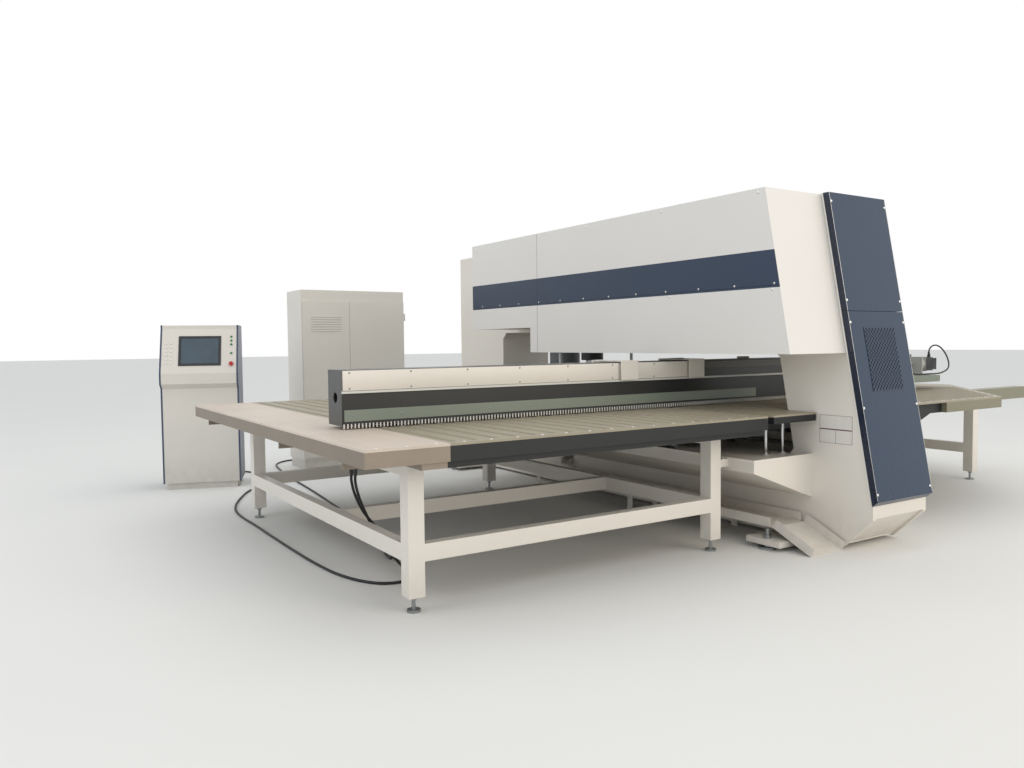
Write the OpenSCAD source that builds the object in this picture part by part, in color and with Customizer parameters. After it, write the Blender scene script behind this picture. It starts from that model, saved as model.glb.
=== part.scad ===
// CNC turret punch press: closed frame, pair of tool turrets, brush tables and a sheet carriage.
// X runs across the machine, Y from the covered front end to the rear, Z up from the floor.
// Places are measured from the middle of the frame; at() moves the machine to the row origin,
// the centre of its footprint on the floor.

/* [Frame] */
// Length of the closed frame, front nose to rear face
frame_len = 5200; // [4900:50:5600]
// Width over both side plates
frame_w = 580; // [540:10:640]
// Height of the side plates above the floor
frame_h = 2310; // [2280:10:2500]
// Thickness of a side plate
plate_t = 30; // [20:1:40]
// Thickness of the cross plates between the side plates
web_t = 20; // [12:1:25]
// How far the top of the front post is set back from the nose
front_setback = 378; // [300:1:420]
// Height of the upper edge of the nose, where the cover starts
nose_high = 313; // [290:1:330]
// Depth of the front post along Y
post_depth = 540; // [500:5:580]
// Depth of the rear post along Y
rear_post = 900; // [840:10:920]
// Height of the lower bed
bed_top = 560; // [540:5:565]
// Height of the throat where the sheet carriage travels
throat_top = 1300; // [1290:5:1330]
// Height of the window around the upper turret
window_top = 1460; // [1430:5:1480]

/* [Front cover] */
// Depth of the cover trays in front of the post
cover_depth = 45; // [38:1:55]
// Sheet thickness of all covers
sheet_t = 3; // [2:0.5:4]
// Height of the joint between the two trays
cover_split = 1540; // [1500:5:1600]
// Columns of vent slots
vent_columns = 15; // [9:1:15]
// Rows of vent slots
vent_rows = 26; // [12:1:26]

/* [Side covers] */
// How far the side covers stand out from the side plates
side_cover_w = 548; // [500:1:600]
// Height of the lower edge of the side covers
side_cover_low = 1272; // [1265:1:1290]
// Height of the joint between upper and lower panel, at the foot of the stripe
side_cover_split = 1695; // [1680:5:1720]
// Place of the rear end of the side covers
side_cover_rear = 1385; // [1340:5:1450]

/* [Turrets] */
// Radius of both turrets
turret_r = 560; // [550:1:570]
// Place of the turret axis behind the middle of the frame
turret_y = 1000; // [980:5:1010]
// Thickness of the upper turret
upper_t = 130; // [120:1:135]
// Thickness of the lower turret
lower_t = 150; // [140:1:155]
// Height of the die plane, on which the sheet travels
pass_z = 893; // [892:0.5:894]
// Gap between the die plane and the upper turret
turret_gap = 24; // [20:1:30]
// Radius of the outer ring of tool stations
track_r = 440; // [435:1:445]
// Radius of the inner ring of tool stations
inner_track_r = 330; // [325:1:335]
// Stations in each ring
stations = 20; // [16:4:20]
// Radius of a small punch guide
punch_r = 24; // [20:1:26]
// Radius of a large punch guide
big_punch_r = 52; // [45:1:54]
// Radius of the turret shafts
shaft_r = 75; // [65:1:80]
// Radius of the turret hubs and their bearing housings
housing_r = 150; // [130:1:160]
// Radius of an index pin
index_r = 16; // [14:1:18]
// Radial running clearance of shafts, pins and tools
fit_gap = 0.05; // [0.02:0.01:0.08]
// Resting gap between faces that slide past each other
slide_gap = 0.3; // [0.3:0.05:0.4]

/* [Ram] */
// Radius of the ram
ram_r = 60; // [50:1:65]
// Stroke of the ram and the working punch
ram_travel = 36; // [30:1:36]

/* [Sheet carriage] */
// Reach of the cross beam to the left
beam_left = 3245; // [3150:5:3300]
// Reach of the cross beam's full section to the right
beam_right = 2250; // [2200:5:2300]
// Place of the beam's front face at rest
beam_y = -1300; // [-1310:5:-1295]
// Depth of the beam
beam_d = 220; // [210:1:225]
// Height of the beam's underside
beam_low = 900; // [898:1:905]
// Height of the beam's top
beam_top = 1215; // [1205:1:1220]
// Half distance of the Y rails and the table slots
rail_x = 750; // [745:1:755]
// Width of the slots between the tables
slot_w = 56; // [50:1:60]
// Place of the clamp bar's left end at rest
bar_left = -1250; // [-1300:5:-1200]
// Length of the clamp bar
bar_len = 1600; // [1560:10:1650]
// Number of work clamps
clamps = 3; // [3:1:3]
// Width of a work clamp
clamp_w = 90; // [80:1:100]
// Reach of a work clamp behind the clamp bar
clamp_reach = 130; // [120:1:135]

/* [Tables] */
// Height of the table plates
table_z = 880; // [879:0.5:881]
// Thickness of the table plates
table_t = 12; // [10:1:14]
// Place of the front edge of the tables
table_front = -2190; // [-2195:5:-2180]
// Place of the rear edge of the tables
table_rear = 1300; // [1250:10:1300]
// Reach of the side tables
table_reach = 3490; // [3440:5:3500]
// Height of the skirt below the side tables
skirt_h = 88; // [80:1:95]
// Reach of the right table at the front, before its slanted corner
right_front_reach = 2070; // [2000:5:2100]
// Pitch of the brush strips
brush_pitch = 120; // [100:5:140]

/* [Floor frames] */
// Width of the square tubes of the table frames
tube_w = 90; // [80:1:100]
// Height of the ties above the floor
tie_z = 260; // [240:5:280]
// Outer reach of the left table frame
left_frame_reach = 3170; // [3150:5:3200]
// Place of the right frame's front legs
right_frame_front = -1480; // [-1490:5:-1470]
// Outer reach of the right table frame
right_frame_reach = 3080; // [3070:5:3090]
// Reach of the beam that runs out past the right table
end_beam_reach = 3960; // [3900:10:4000]
// Place of that beam's front face
end_beam_y = -1500; // [-1510:5:-1495]

/* [Shelves and chute] */
// Reach of the rail shelves from the side plates
shelf_reach = 570; // [565:5:600]
// Height of the rail shelves
shelf_top = 600; // [595:1:605]
// Width of the scrap chute
chute_w = 315; // [300:5:320]
// Height of the chute's level floor
chute_z = 133; // [125:1:140]

/* [Console] */
// Console's left front corner, across
console_x = -3550; // [-3600:10:-3500]
// Console's left front corner, along
console_y = 2540; // [2500:10:2600]
// Turn of the console about the vertical
console_turn = -19; // [-25:1:-10]
// Width of the console over its cheeks
console_w = 700; // [660:5:740]
// Depth of the console's body
console_d = 500; // [460:5:540]
// Height of the console
console_h = 1556; // [1520:1:1600]
// Set-back of the top behind the shelf box's front
console_lean = 170; // [150:5:190]
// Width of the screen's bezel
screen_w = 380; // [360:5:400]
// Height of the screen's bezel along the slope
screen_h = 300; // [280:5:310]

/* [Cabinet] */
// Place of the cabinet's right side
cabinet_x = -830; // [-840:5:-820]
// Width of the cabinet
cabinet_w = 1200; // [1150:10:1250]
// Depth of the cabinet
cabinet_d = 480; // [450:10:500]
// Place of the cabinet's front
cabinet_y = 3000; // [2980:10:3050]
// Height of the cabinet
cabinet_h = 1950; // [1900:10:2000]
// Width of the cabinet door
cabinet_door_w = 660; // [640:5:680]

/* [Cables] */
// Diameter of the two cables on the floor
cable_d = 17; // [16:1:18]

/* [Hidden] */

// Smaller sizes
nose_low = 223;
chamfer_run = 211;
corner_cut = 60;
cover_bevel = 33;
cover_gap = 3;
vent_pitch_x = 20;
vent_pitch_z = 15.6;
vent_w = 8;
vent_l = 13;
vent_z = 1231;
screw_inset = 13;
screw_r = 9;
side_cover_step = 1490;
right_cover_front = -1780;
die_proud = 4;
index_depth = 32;
striker_r = 38;
shank_r = 12;
tip_r = 9;
beam_shelf = 500;
shelf_z = 1010;
rail_w = 34;
rail_h = 30;
screw_rod_r = 16;
nut_r = 38;
clamp_inset = 160;
brush_w = 24;
brush_h = 4;
band_h = 35;
skirt_t = 8;
end_plate_w = 440;
corner_run = 1210;
second_tie_y = -910;
plinth_h = 57;
console_slope_h = 45;
console_shelf_h = 100;
cheek_t = 15;
cabinet_plinth = 100;
door_gap = 3;
hinge_r = 5;
chute_rear = 720;
foot_len = 270;
foot_t = 37;
foot_z = 30;
shelf_root = 292;
shelf_tray = 15;
button_r = 14;
leg_gap = 80;
pad_r = 35;
centre_rim = 55;
shelf_edge = 83;
chute_wall = 62;
chute_bend = -2100;
chute_end = -2395;
arm_gap = 18;
frame_inner_reach = 955;
frame_rear = 800;
end_beam_d = 120;
end_beam_top = 865;
console_shelf_d = 60;
console_body_h = 900;
button_travel = 4;
door_t = 20;
motor_cable_d = 14;
drive_r = 130;
drive_low = 250;
servo_h = 200;
servo_box = 120;
servo_box_h = 210;
die_h = 30;
head_h = 78;
die_wall = 10;
base_gap = 20;
side_cover_top = frame_h - 8;
foot_reach = 410;
riser_t = 30;
beam_wall = 12;
left_frame_front = -1960;
side_cover_front = 18;
shelf_front = -2150;
shelf_rear = 1500;
cover_over = 10;
servo_half = 70;
gear_len = 120;

// Half sizes and derived places of the frame
half_w = frame_w / 2;
inner_w = half_w - plate_t;
y0 = -frame_len / 2;
y1 = frame_len / 2;
lean = front_setback / (frame_h - nose_high);
throat_rear = y1 - rear_post;
window_front = turret_y - turret_r - 60;
// Place of the front edge of the side plates at height z
function front_y(z) = y0 + lean * max(0, z - nose_high);
// Four points of a strip parallel to the leaning front, between heights za and zb
function slant(za, zb, a, b) =
    [[front_y(za) + a, za], [front_y(zb) + a, zb], [front_y(zb) + b, zb], [front_y(za) + b, za]];

// Footprint of the whole machine, and its centre
gland_len = 18;
x_min = min(console_x, -table_reach);
x_max = end_beam_reach;
y_min = y0 - cover_depth + lean * cover_bevel;
y_max = cabinet_y + cabinet_d + gland_len;
origin_x = (x_min + x_max) / 2;
origin_y = (y_min + y_max) / 2;

// Box between two opposite corners
module box(a, b) {
    translate(a) cube([b[0] - a[0], b[1] - a[1], b[2] - a[2]]);
}
// Upright, lengthwise and crosswise round bars
module rod_z(x, y, za, zb, r) {
    translate([x, y, za]) cylinder(h = zb - za, r = r, $fn = 48);
}
module rod_y(x, z, ya, yb, r) {
    translate([x, ya, z]) rotate([-90, 0, 0]) cylinder(h = yb - ya, r = r, $fn = 48);
}
module rod_x(y, z, xa, xb, r) {
    translate([xa, y, z]) rotate([0, 90, 0]) cylinder(h = xb - xa, r = r, $fn = 48);
}
// Profile in the Y-Z plane, extruded across from xa to xb
module across(xa, xb) {
    translate([xa, 0, 0]) rotate([90, 0, 90]) linear_extrude(xb - xa) children();
}
// Profile in the X-Z plane, extruded lengthwise from ya to yb
module along(ya, yb) {
    translate([0, yb, 0]) rotate([90, 0, 0]) linear_extrude(yb - ya) children();
}
// Moves the machine from the middle of its frame to the row origin
module at() {
    translate([-origin_x, -origin_y, 0]) children();
}

// Closed frame
module plate_outline() {
    polygon([[y0, nose_low], [y0 + chamfer_run, base_gap], [y1 - chamfer_run, base_gap],
        [y1, nose_low], [y1, frame_h], [front_y(frame_h), frame_h], [y0, nose_high]]);
}
module throat_outline() {
    c = corner_cut;
    f0 = front_y(bed_top) + post_depth;
    f1 = front_y(throat_top) + post_depth;
    polygon([[f0 + c, bed_top], [throat_rear - c, bed_top], [throat_rear, bed_top + c],
        [throat_rear, window_top - c], [throat_rear - c, window_top],
        [window_front + c, window_top], [window_front, window_top - c],
        [window_front, throat_top], [f1 + c, throat_top], [f1 - lean * c, throat_top - c],
        [f0 + lean * c, bed_top + c]]);
}
module side_plate(x, port) {
    color("whitesmoke") across(x, x + plate_t) difference() {
        plate_outline();
        throat_outline();
        translate([y1 - 320, frame_h - 110]) circle(r = 45, $fn = 48);
        if (port) translate([ram_y - 75, slide_z(-half_w) - 3]) square([150, 130]);
    }
}
module side_plate_left() {
    side_plate(-half_w, true);
}
module side_plate_right() {
    side_plate(half_w - plate_t, false);
}
// Cross plates, ribs and the two bored carrier plates, welded into one piece
ram_y = turret_y - track_r;
slug_r = 60;
rib_y = [-1500, -700, 100];
module web(ya, yb, za, zb) {
    box([-inner_w, ya, za], [inner_w, yb, zb]);
}
module frame_webs() {
    t = web_t;
    slope = [chamfer_run, base_gap - nose_low];
    n = [-slope[1], slope[0]] / norm(slope);
    a = [y0, nose_low];
    b = [y0 + chamfer_run, base_gap];
    color("whitesmoke") difference() {
        union() {
            web(y0, y0 + t, nose_low + 10, nose_high);
            across(-inner_w, inner_w) polygon([a + 14 * n, b + 14 * n, b + (14 + t) * n,
                a + (14 + t) * n]);
            web(y0 + chamfer_run, y1 - chamfer_run, base_gap + 12, base_gap + 12 + t);
            across(-inner_w, inner_w) polygon(slant(nose_high - 10, frame_h - 5, 12, 12 + t));
            across(-inner_w, inner_w)
                polygon(slant(bed_top - t, throat_top + t, post_depth - 8 - t, post_depth - 8));
            web(front_y(bed_top) + post_depth - 20, throat_rear + t, bed_top - t, bed_top);
            web(throat_rear, throat_rear + t, bed_top - t, window_top + t);
            web(front_y(throat_top) + post_depth - 20, window_front, throat_top, throat_top + t);
            web(window_front - t, window_front, throat_top, window_top + t);
            web(window_front - t, throat_rear + t, window_top, window_top + t);
            web(front_y(frame_h) + 10, y1, frame_h - 5 - t, frame_h - 5);
            web(y1 - t, y1, nose_low, frame_h - 5);
            across(-inner_w, inner_w) polygon([[y1 - t, nose_low], [y1, nose_low],
                [y1 - chamfer_run, base_gap + 12], [y1 - chamfer_run - t, base_gap + 12]]);
            for (y = rib_y) {
                web(y, y + t, throat_top, frame_h - 10);
                web(y, y + t, base_gap + 12, bed_top - 5);
            }
            web(throat_rear, throat_rear + t, base_gap + 12, bed_top);
            web(throat_rear, throat_rear + t, window_top, frame_h - 10);
        }
        rod_z(0, ram_y, window_top - 1, window_top + t + 1, housing_sleeve_r + fit_gap);
        rod_z(0, turret_y, window_top - 1, window_top + t + 1, motor_r + 0.5);
        rod_z(0, ram_y, bed_top - t - 1, bed_top + 1, slug_r);
        rod_z(0, turret_y, bed_top - t - 1, bed_top + 1, motor_r + 0.5);
    }
}
// Outrigger plates under both posts
foot_y = [front_y(0) + 380, y1 - 650];
module frame_feet() {
    color("whitesmoke") for (s = [-1, 1], y = foot_y) difference() {
        box([min(s * half_w, s * (half_w + foot_reach)), y, foot_z],
            [max(s * half_w, s * (half_w + foot_reach)), y + foot_len, foot_z + foot_t]);
        rod_z(s * (half_w + foot_reach - 48), y + foot_len / 2, foot_z - 1, foot_z + foot_t + 1,
            13);
    }
}
// One levelling foot: pad, stem and lock nut, for a hole whose underside is at z
module levelling_foot(x, y, z, top, r, stem_r) {
    rod_z(x, y, 0, 14, r);
    rod_z(x, y, 14, top, stem_r);
    translate([x, y, z - 16]) cylinder(h = 16, r = stem_r * 1.9, $fn = 6);
}
left_leg_x = [-left_frame_reach, -frame_inner_reach - tube_w];
right_leg_x = [frame_inner_reach, right_frame_reach - tube_w];
module levelling_feet() {
    color("dimgray") {
        for (s = [-1, 1], y = foot_y) {
            levelling_foot(s * (half_w + foot_reach - 48), y + foot_len / 2, foot_z,
                foot_z + foot_t + 62, 60, 12.9);
            rod_z(s * (half_w + foot_reach - 48), y + foot_len / 2, foot_z + foot_t,
                foot_z + foot_t + 22, 24);
        }
        for (x = left_leg_x, y = [left_frame_front, frame_rear])
            levelling_foot(x + tube_w / 2, y + tube_w / 2, leg_gap, leg_gap, pad_r, 10);
        for (x = right_leg_x, y = [right_frame_front, frame_rear])
            levelling_foot(x + tube_w / 2, y + tube_w / 2, leg_gap, leg_gap, pad_r, 10);
        for (s = [-1, 1], y = [-700, 300])
            rod_z(s * (inner_w + plate_t / 2), y, 0, base_gap, 14);
    }
}

// Front cover: two folded trays on the leaning front
// Profile of a tray between heights za and zb, moved in by d from its outer faces
function tray_front(z, d) = front_y(z) - cover_depth + d;
cover_half = half_w + cover_over;
screw_x = cover_half - screw_inset;
module tray(za, zb) {
    difference() {
        across(-cover_half, cover_half) polygon([[front_y(za), za], [tray_front(za, 0), za],
            [tray_front(zb, 0), zb], [front_y(zb), zb]]);
        across(-cover_half + sheet_t, cover_half - sheet_t) polygon([[front_y(za) + 5, za + sheet_t],
            [tray_front(za, sheet_t), za + sheet_t], [tray_front(zb, sheet_t), zb - sheet_t],
            [front_y(zb) + 5, zb - sheet_t]]);
    }
}
// Places of the tray screws: heights of the upper tray, then of the lower
upper_screw_z = [cover_split + 70, frame_h - 58];
lower_screw_z = [nose_high + cover_bevel + 46, (nose_high + cover_split) / 2, cover_split - 72];
module cover_hole(x, z) {
    translate([x, tray_front(z, 0), z]) rotate([90 - atan(lean), 0, 0])
        translate([0, 0, -20]) cylinder(h = 40, r = 4, $fn = 24);
}
module front_cover_upper() {
    color("#3F4F70") difference() {
        tray(cover_split + cover_gap / 2, frame_h);
        for (s = [-1, 1], z = upper_screw_z) cover_hole(s * screw_x, z);
    }
}
// Vent slot as an upright hole with round ends
module vent_slot() {
    straight = vent_l - vent_w;
    square([vent_w, straight], center = true);
    translate([0, straight / 2]) circle(r = vent_w / 2, $fn = 16);
    translate([0, -straight / 2]) circle(r = vent_w / 2, $fn = 16);
}
module vent_field() {
    for (i = [0:vent_columns - 1], j = [0:vent_rows - 1])
        translate([(i - (vent_columns - 1) / 2) * vent_pitch_x + (j % 2 - 0.5) * vent_pitch_x / 2,
            (j - (vent_rows - 1) / 2) * vent_pitch_z]) vent_slot();
}
module front_cover_lower() {
    zb = cover_split - cover_gap / 2;
    z_bevel = nose_high + cover_bevel;
    color("#3F4F70") difference() {
        union() {
            tray(z_bevel, zb);
            across(-cover_half, cover_half) polygon([[front_y(nose_high), nose_high + 0.3],
                [tray_front(z_bevel, 0), z_bevel], [tray_front(z_bevel, 0), z_bevel + sheet_t],
                [front_y(nose_high), nose_high + 0.3 + 1.4 * sheet_t]]);
            for (x = [-cover_half, cover_half - sheet_t]) across(x, x + sheet_t)
                polygon([[front_y(nose_high), nose_high + 0.3], [tray_front(z_bevel, 0), z_bevel],
                    [front_y(z_bevel), z_bevel]]);
        }
        across(-cover_half + sheet_t, cover_half - sheet_t)
            polygon([[front_y(z_bevel) + 5, z_bevel - 1], [tray_front(z_bevel, 1.6 * sheet_t),
                z_bevel - 1], [tray_front(z_bevel, sheet_t), z_bevel + 2 * sheet_t],
                [front_y(z_bevel) + 5, z_bevel + 2 * sheet_t]]);
        for (s = [-1, 1], z = lower_screw_z) cover_hole(s * screw_x, z);
        translate([0, tray_front(vent_z, 0), vent_z]) rotate([90 - atan(lean), 0, 0])
            translate([0, 0, -sheet_t - 2]) linear_extrude(2 * sheet_t + 2) vent_field();
    }
}

// Side covers: boxes of sheet, open towards the side plate, the left front end leaning
function cover_front(z) = front_y(z) + side_cover_front;
module cover_profile(za, zb, step_z) {
    polygon([[cover_front(za), za], [cover_front(zb), zb], [side_cover_rear, zb],
        [side_cover_rear, max(za, step_z)], [window_front, max(za, step_z)], [window_front, za]]);
}
module cover_hollow(za, zb, step_z, open_low, open_high) {
    t = sheet_t;
    lo = open_low ? za - 1 : za + t;
    hi = open_high ? zb + 1 : zb - t;
    st = step_z > za ? step_z + t : lo;
    polygon([[cover_front(lo) + t, lo], [cover_front(hi) + t, hi], [side_cover_rear - t, hi],
        [side_cover_rear - t, st], [window_front - t, st], [window_front - t, lo]]);
}
module side_cover(za, zb, step_z, open_low, open_high) {
    xa = -half_w - side_cover_w;
    difference() {
        across(xa, -half_w) cover_profile(za, zb, step_z);
        across(xa + sheet_t, -half_w + 1) cover_hollow(za, zb, step_z, open_low, open_high);
    }
}
module side_cover_left_upper() {
    color("#C9C8C6") side_cover(side_cover_split + 1, side_cover_top, side_cover_split, true, false);
}
module side_cover_left_lower() {
    color("#C9C8C6") side_cover(side_cover_low, side_cover_split - 1, side_cover_step, false, true);
}
module side_cover_right() {
    t = sheet_t;
    xb = half_w + side_cover_w;
    f = right_cover_front;
    color("#C9C8C6") difference() {
        across(half_w, xb) polygon([[f, side_cover_low], [f, side_cover_top],
            [side_cover_rear, side_cover_top], [side_cover_rear, side_cover_step],
            [window_front, side_cover_step], [window_front, side_cover_low]]);
        across(half_w - 1, xb - t) polygon([[f + t, side_cover_low + t], [f + t, side_cover_top - t],
            [side_cover_rear - t, side_cover_top - t], [side_cover_rear - t, side_cover_step + t],
            [window_front - t, side_cover_step + t], [window_front - t, side_cover_low + t]]);
    }
}
// Domed screws of the front trays and the side covers
module dome() {
    rotate_extrude($fn = 32) intersection() {
        translate([0, -screw_r * 0.9]) circle(r = screw_r * 1.345, $fn = 48);
        square([screw_r, screw_r]);
    }
}
function side_screw_y(z, k) = cover_front(z) + 60 + k * (side_cover_rear - cover_front(z) - 120) / 4;
module cover_screws() {
    color("white") {
        for (s = [-1, 1], z = concat(upper_screw_z, lower_screw_z))
            translate([s * screw_x, tray_front(z, 0), z])
                rotate([90 - atan(lean), 0, 0]) {
                    dome();
                    translate([0, 0, -sheet_t - 6]) cylinder(h = sheet_t + 6.5, r = 3.6, $fn = 24);
                }
        for (k = [0:4], z = [side_cover_split - 26, side_cover_top - 26])
            translate([-half_w - side_cover_w, side_screw_y(z, k), z]) rotate([0, -90, 0]) dome();
        for (k = [1:4]) translate([half_w + side_cover_w, side_screw_y(side_cover_top, k),
            side_cover_top - 26]) rotate([0, 90, 0]) dome();
    }
}

// Rail shelves on both side plates, closed box brackets with a tray on top
module side_shelves() {
    color("whitesmoke") for (s = [-1, 1]) difference() {
        along(shelf_front, shelf_rear) polygon([[s * half_w, shelf_top],
            [s * shelf_x, shelf_top],
            [s * shelf_x, shelf_top - shelf_edge],
            [s * half_w, shelf_top - shelf_root]]);
        box([min(s * (half_w - 1), s * (shelf_x - 12)), shelf_front + 12,
            shelf_top - shelf_tray],
            [max(s * (half_w - 1), s * (shelf_x - 12)), shelf_rear - 12,
            shelf_top + 1]);
    }
}
// Y rails with the bearing blocks of the Y screw
rail_base = shelf_top - shelf_tray;
y_screw_z = bed_top + 50;
y_screw_front = front_y(bed_top) + post_depth + 120;
y_screw_rear = window_front - 95;
yoke_front = beam_y + 10;
yoke_rear = beam_y + beam_d - 10;
y_travel = 1250;
module bearing_block_y(ya, yb) {
    difference() {
        box([-45, ya, bed_top], [45, yb, y_screw_z + 42]);
        rod_y(0, y_screw_z, ya - 1, yb + 1, screw_rod_r + fit_gap);
    }
}
module y_guides() {
    color("silver") {
        for (s = [-1, 1]) difference() {
            box([s * rail_x - rail_w / 2, yoke_front - 60, rail_base],
                [s * rail_x + rail_w / 2, yoke_rear + y_travel + 60, rail_base + rail_h]);
            for (e = [-1, 1]) box([s * rail_x + e * (rail_w / 2 + 1) - 4, yoke_front - 61,
                rail_base + rail_h * 0.4], [s * rail_x + e * (rail_w / 2 + 1) + 4,
                yoke_rear + y_travel + 61, rail_base + rail_h * 0.6]);
        }
        bearing_block_y(y_screw_front, y_screw_front + 40);
        bearing_block_y(y_screw_rear - 40, y_screw_rear);
    }
}
// Servo motor with gear head, ribbed body and encoder cap, axis along +Y
module servo(len, half, head) {
    rod_y(0, 0, 0, head + 1, half * 0.94);
    box([-half, head, -half], [half, head + 14, half]);
    difference() {
        box([-half * 0.92, head + 14, -half * 0.92], [half * 0.92, len * 0.76, half * 0.92]);
        for (k = [0:3], a = [0:90:270]) rotate([0, a, 0])
            box([-half * 0.5 + k * half / 3, head + 22, half * 0.86],
                [-half * 0.42 + k * half / 3, len * 0.72, half]);
    }
    box([-half * 0.8, len * 0.76, -half * 0.8], [half * 0.8, len, half * 0.8]);
}
module y_motor() {
    color("#222426") translate([0, y_screw_rear, y_screw_z]) servo(155, 42, 40);
}

// Centre table: plate with rim, front arms beside the post and a round cut for the lower turret
slot_in = rail_x - slot_w / 2;
slot_out = rail_x + slot_w / 2;
table_cut_r = turret_r + 8;
// Rear edge of the front arms, in front of which the post stands
arm_inner = half_w + arm_gap;
arm_rear = front_y(table_z) + post_depth + 30;
gauge_x = -640;
gauge_y = -300;
gauge_r = 15;
module centre_outline() {
    difference() {
        translate([-slot_in, table_front]) square([2 * slot_in, table_rear - table_front]);
        translate([-arm_inner, table_front - 1]) square([2 * arm_inner, arm_rear - table_front + 1]);
        translate([0, turret_y]) circle(r = table_cut_r, $fn = 96);
        translate([-housing_r - 40, turret_y])
            square([2 * (housing_r + 40), table_rear - turret_y + 1]);
    }
}
module centre_table() {
    low = table_z - centre_rim;
    color("#6E6A62") difference() {
        union() {
            translate([0, 0, table_z - table_t]) linear_extrude(table_t) centre_outline();
            for (s = [-1, 1]) {
                box([s * slot_in - (s > 0 ? skirt_t : 0), table_front, low],
                    [s * slot_in + (s > 0 ? 0 : skirt_t), table_rear, table_z - 1]);
                box([s * arm_inner - (s > 0 ? 0 : skirt_t), table_front, low],
                    [s * arm_inner + (s > 0 ? skirt_t : 0), arm_rear + skirt_t, table_z - 1]);
                box([s > 0 ? arm_inner : -slot_in, table_front, low],
                    [s > 0 ? slot_in : -arm_inner, table_front + skirt_t, table_z - 1]);
            }
            box([-slot_in, arm_rear, low], [slot_in, arm_rear + 60, table_z - 1]);
            for (x = [-400, -150, 150, 400]) box([x - 5, arm_rear, low],
                [x + 5, window_front - 40, table_z - 1]);
            box([-slot_in, window_front - 45, low], [slot_in, window_front - 35, table_z - 1]);
            rod_z(gauge_x, gauge_y, low - 20, table_z - 1, gauge_r + 14);
            for (s = [-1, 1]) box([min(s * 600, s * slot_in), table_rear - skirt_t, low],
                [max(s * 600, s * slot_in), table_rear, table_z - 1]);
        }
        rod_z(gauge_x, gauge_y, low - 21, table_z + 1, gauge_r + fit_gap);
    }
}
// Chrome posts that carry the centre table from the shelves
post_x = [half_w + 40, half_w + 210];
rear_post_y = [window_front - 40, table_rear - 20];
module table_posts() {
    spots = concat([for (x = post_x) [x, table_front + 250, 10]],
        [for (y = rear_post_y) [rail_x - 90, y - 24, 12]]);
    color("silver") for (s = [-1, 1], p = spots) {
        rod_z(s * p[0], p[1], rail_base, table_z - table_t, p[2]);
        rod_z(s * p[0], p[1], rail_base, rail_base + 10, 26);
    }
}

// Upright strip of sheet from p to q, with its thickness on the left of that direction
module strip(p, q, t, za, zb) {
    n = t / norm(q - p) * [p[1] - q[1], q[0] - p[0]];
    translate([0, 0, za]) linear_extrude(zb - za) polygon([p, q, q + n, p + n]);
}
// Side tables: top plate, skirt round the edge, lower band and ribs
skirt_low = table_z - skirt_h;
band_low = skirt_low - band_h;
module left_table() {
    a = -table_reach;
    b = -slot_out;
    color("#6E6A62") {
        box([a, table_front, table_z - table_t], [b, table_rear, table_z]);
        difference() {
            box([a, table_front, skirt_low], [b, table_rear, table_z - table_t]);
            box([a + skirt_t, table_front + skirt_t, skirt_low - 1],
                [b - skirt_t, table_rear - skirt_t, table_z - table_t - 0.001]);
        }
        difference() {
            box([a + 300, table_front + 30, band_low], [b, table_rear - 30, table_z - table_t]);
            box([a + 300 + skirt_t, table_front + 30 + skirt_t, band_low - 1],
                [b - skirt_t, table_rear - 30 - skirt_t, table_z]);
        }
        for (k = [1:3]) box([b + k * (a - b) / 4, table_front + 30, skirt_low],
            [b + k * (a - b) / 4 + 10, table_rear - 30, table_z - table_t]);
        for (y = [left_frame_front + tube_w / 2, second_tie_y, frame_rear + tube_w / 2])
            box([a, y - 5, band_low], [b, y + 5, table_z - table_t]);
    }
}
right_corner_y = table_front + corner_run;
module right_outline() {
    polygon([[slot_out, table_front], [right_front_reach, table_front],
        [table_reach, right_corner_y], [table_reach, table_rear], [slot_out, table_rear]]);
}
recess_end = 1260;
module right_table() {
    t = table_z - table_t;
    c = [[slot_out, table_front], [right_front_reach, table_front], [table_reach, right_corner_y],
        [table_reach, table_rear], [slot_out, table_rear]];
    color("#6E6A62") {
        translate([0, 0, t]) linear_extrude(table_t) right_outline();
        box([recess_end, table_front, skirt_low], [right_front_reach, table_front + skirt_t, t]);
        for (k = [1:4]) strip(c[k], c[(k + 1) % 5], skirt_t, skirt_low, t);
        along(table_front + 40, table_front + 40 + skirt_t) polygon([[slot_out, t],
            [recess_end + 20, t], [recess_end + 20, skirt_low], [slot_out + 327, skirt_low],
            [slot_out, skirt_low - 120]]);
        box([recess_end, table_front, skirt_low], [recess_end + skirt_t, table_rear, t]);
        box([recess_end + 800, table_front, skirt_low],
            [recess_end + 800 + skirt_t, table_rear, t]);
        for (y = [right_frame_front, frame_rear] + [1, 1] * tube_w / 2)
            box([slot_out, y - 5, end_beam_low], [min(slant_x(y), right_frame_reach) - 20, y + 5, t]);
    }
}
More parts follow.
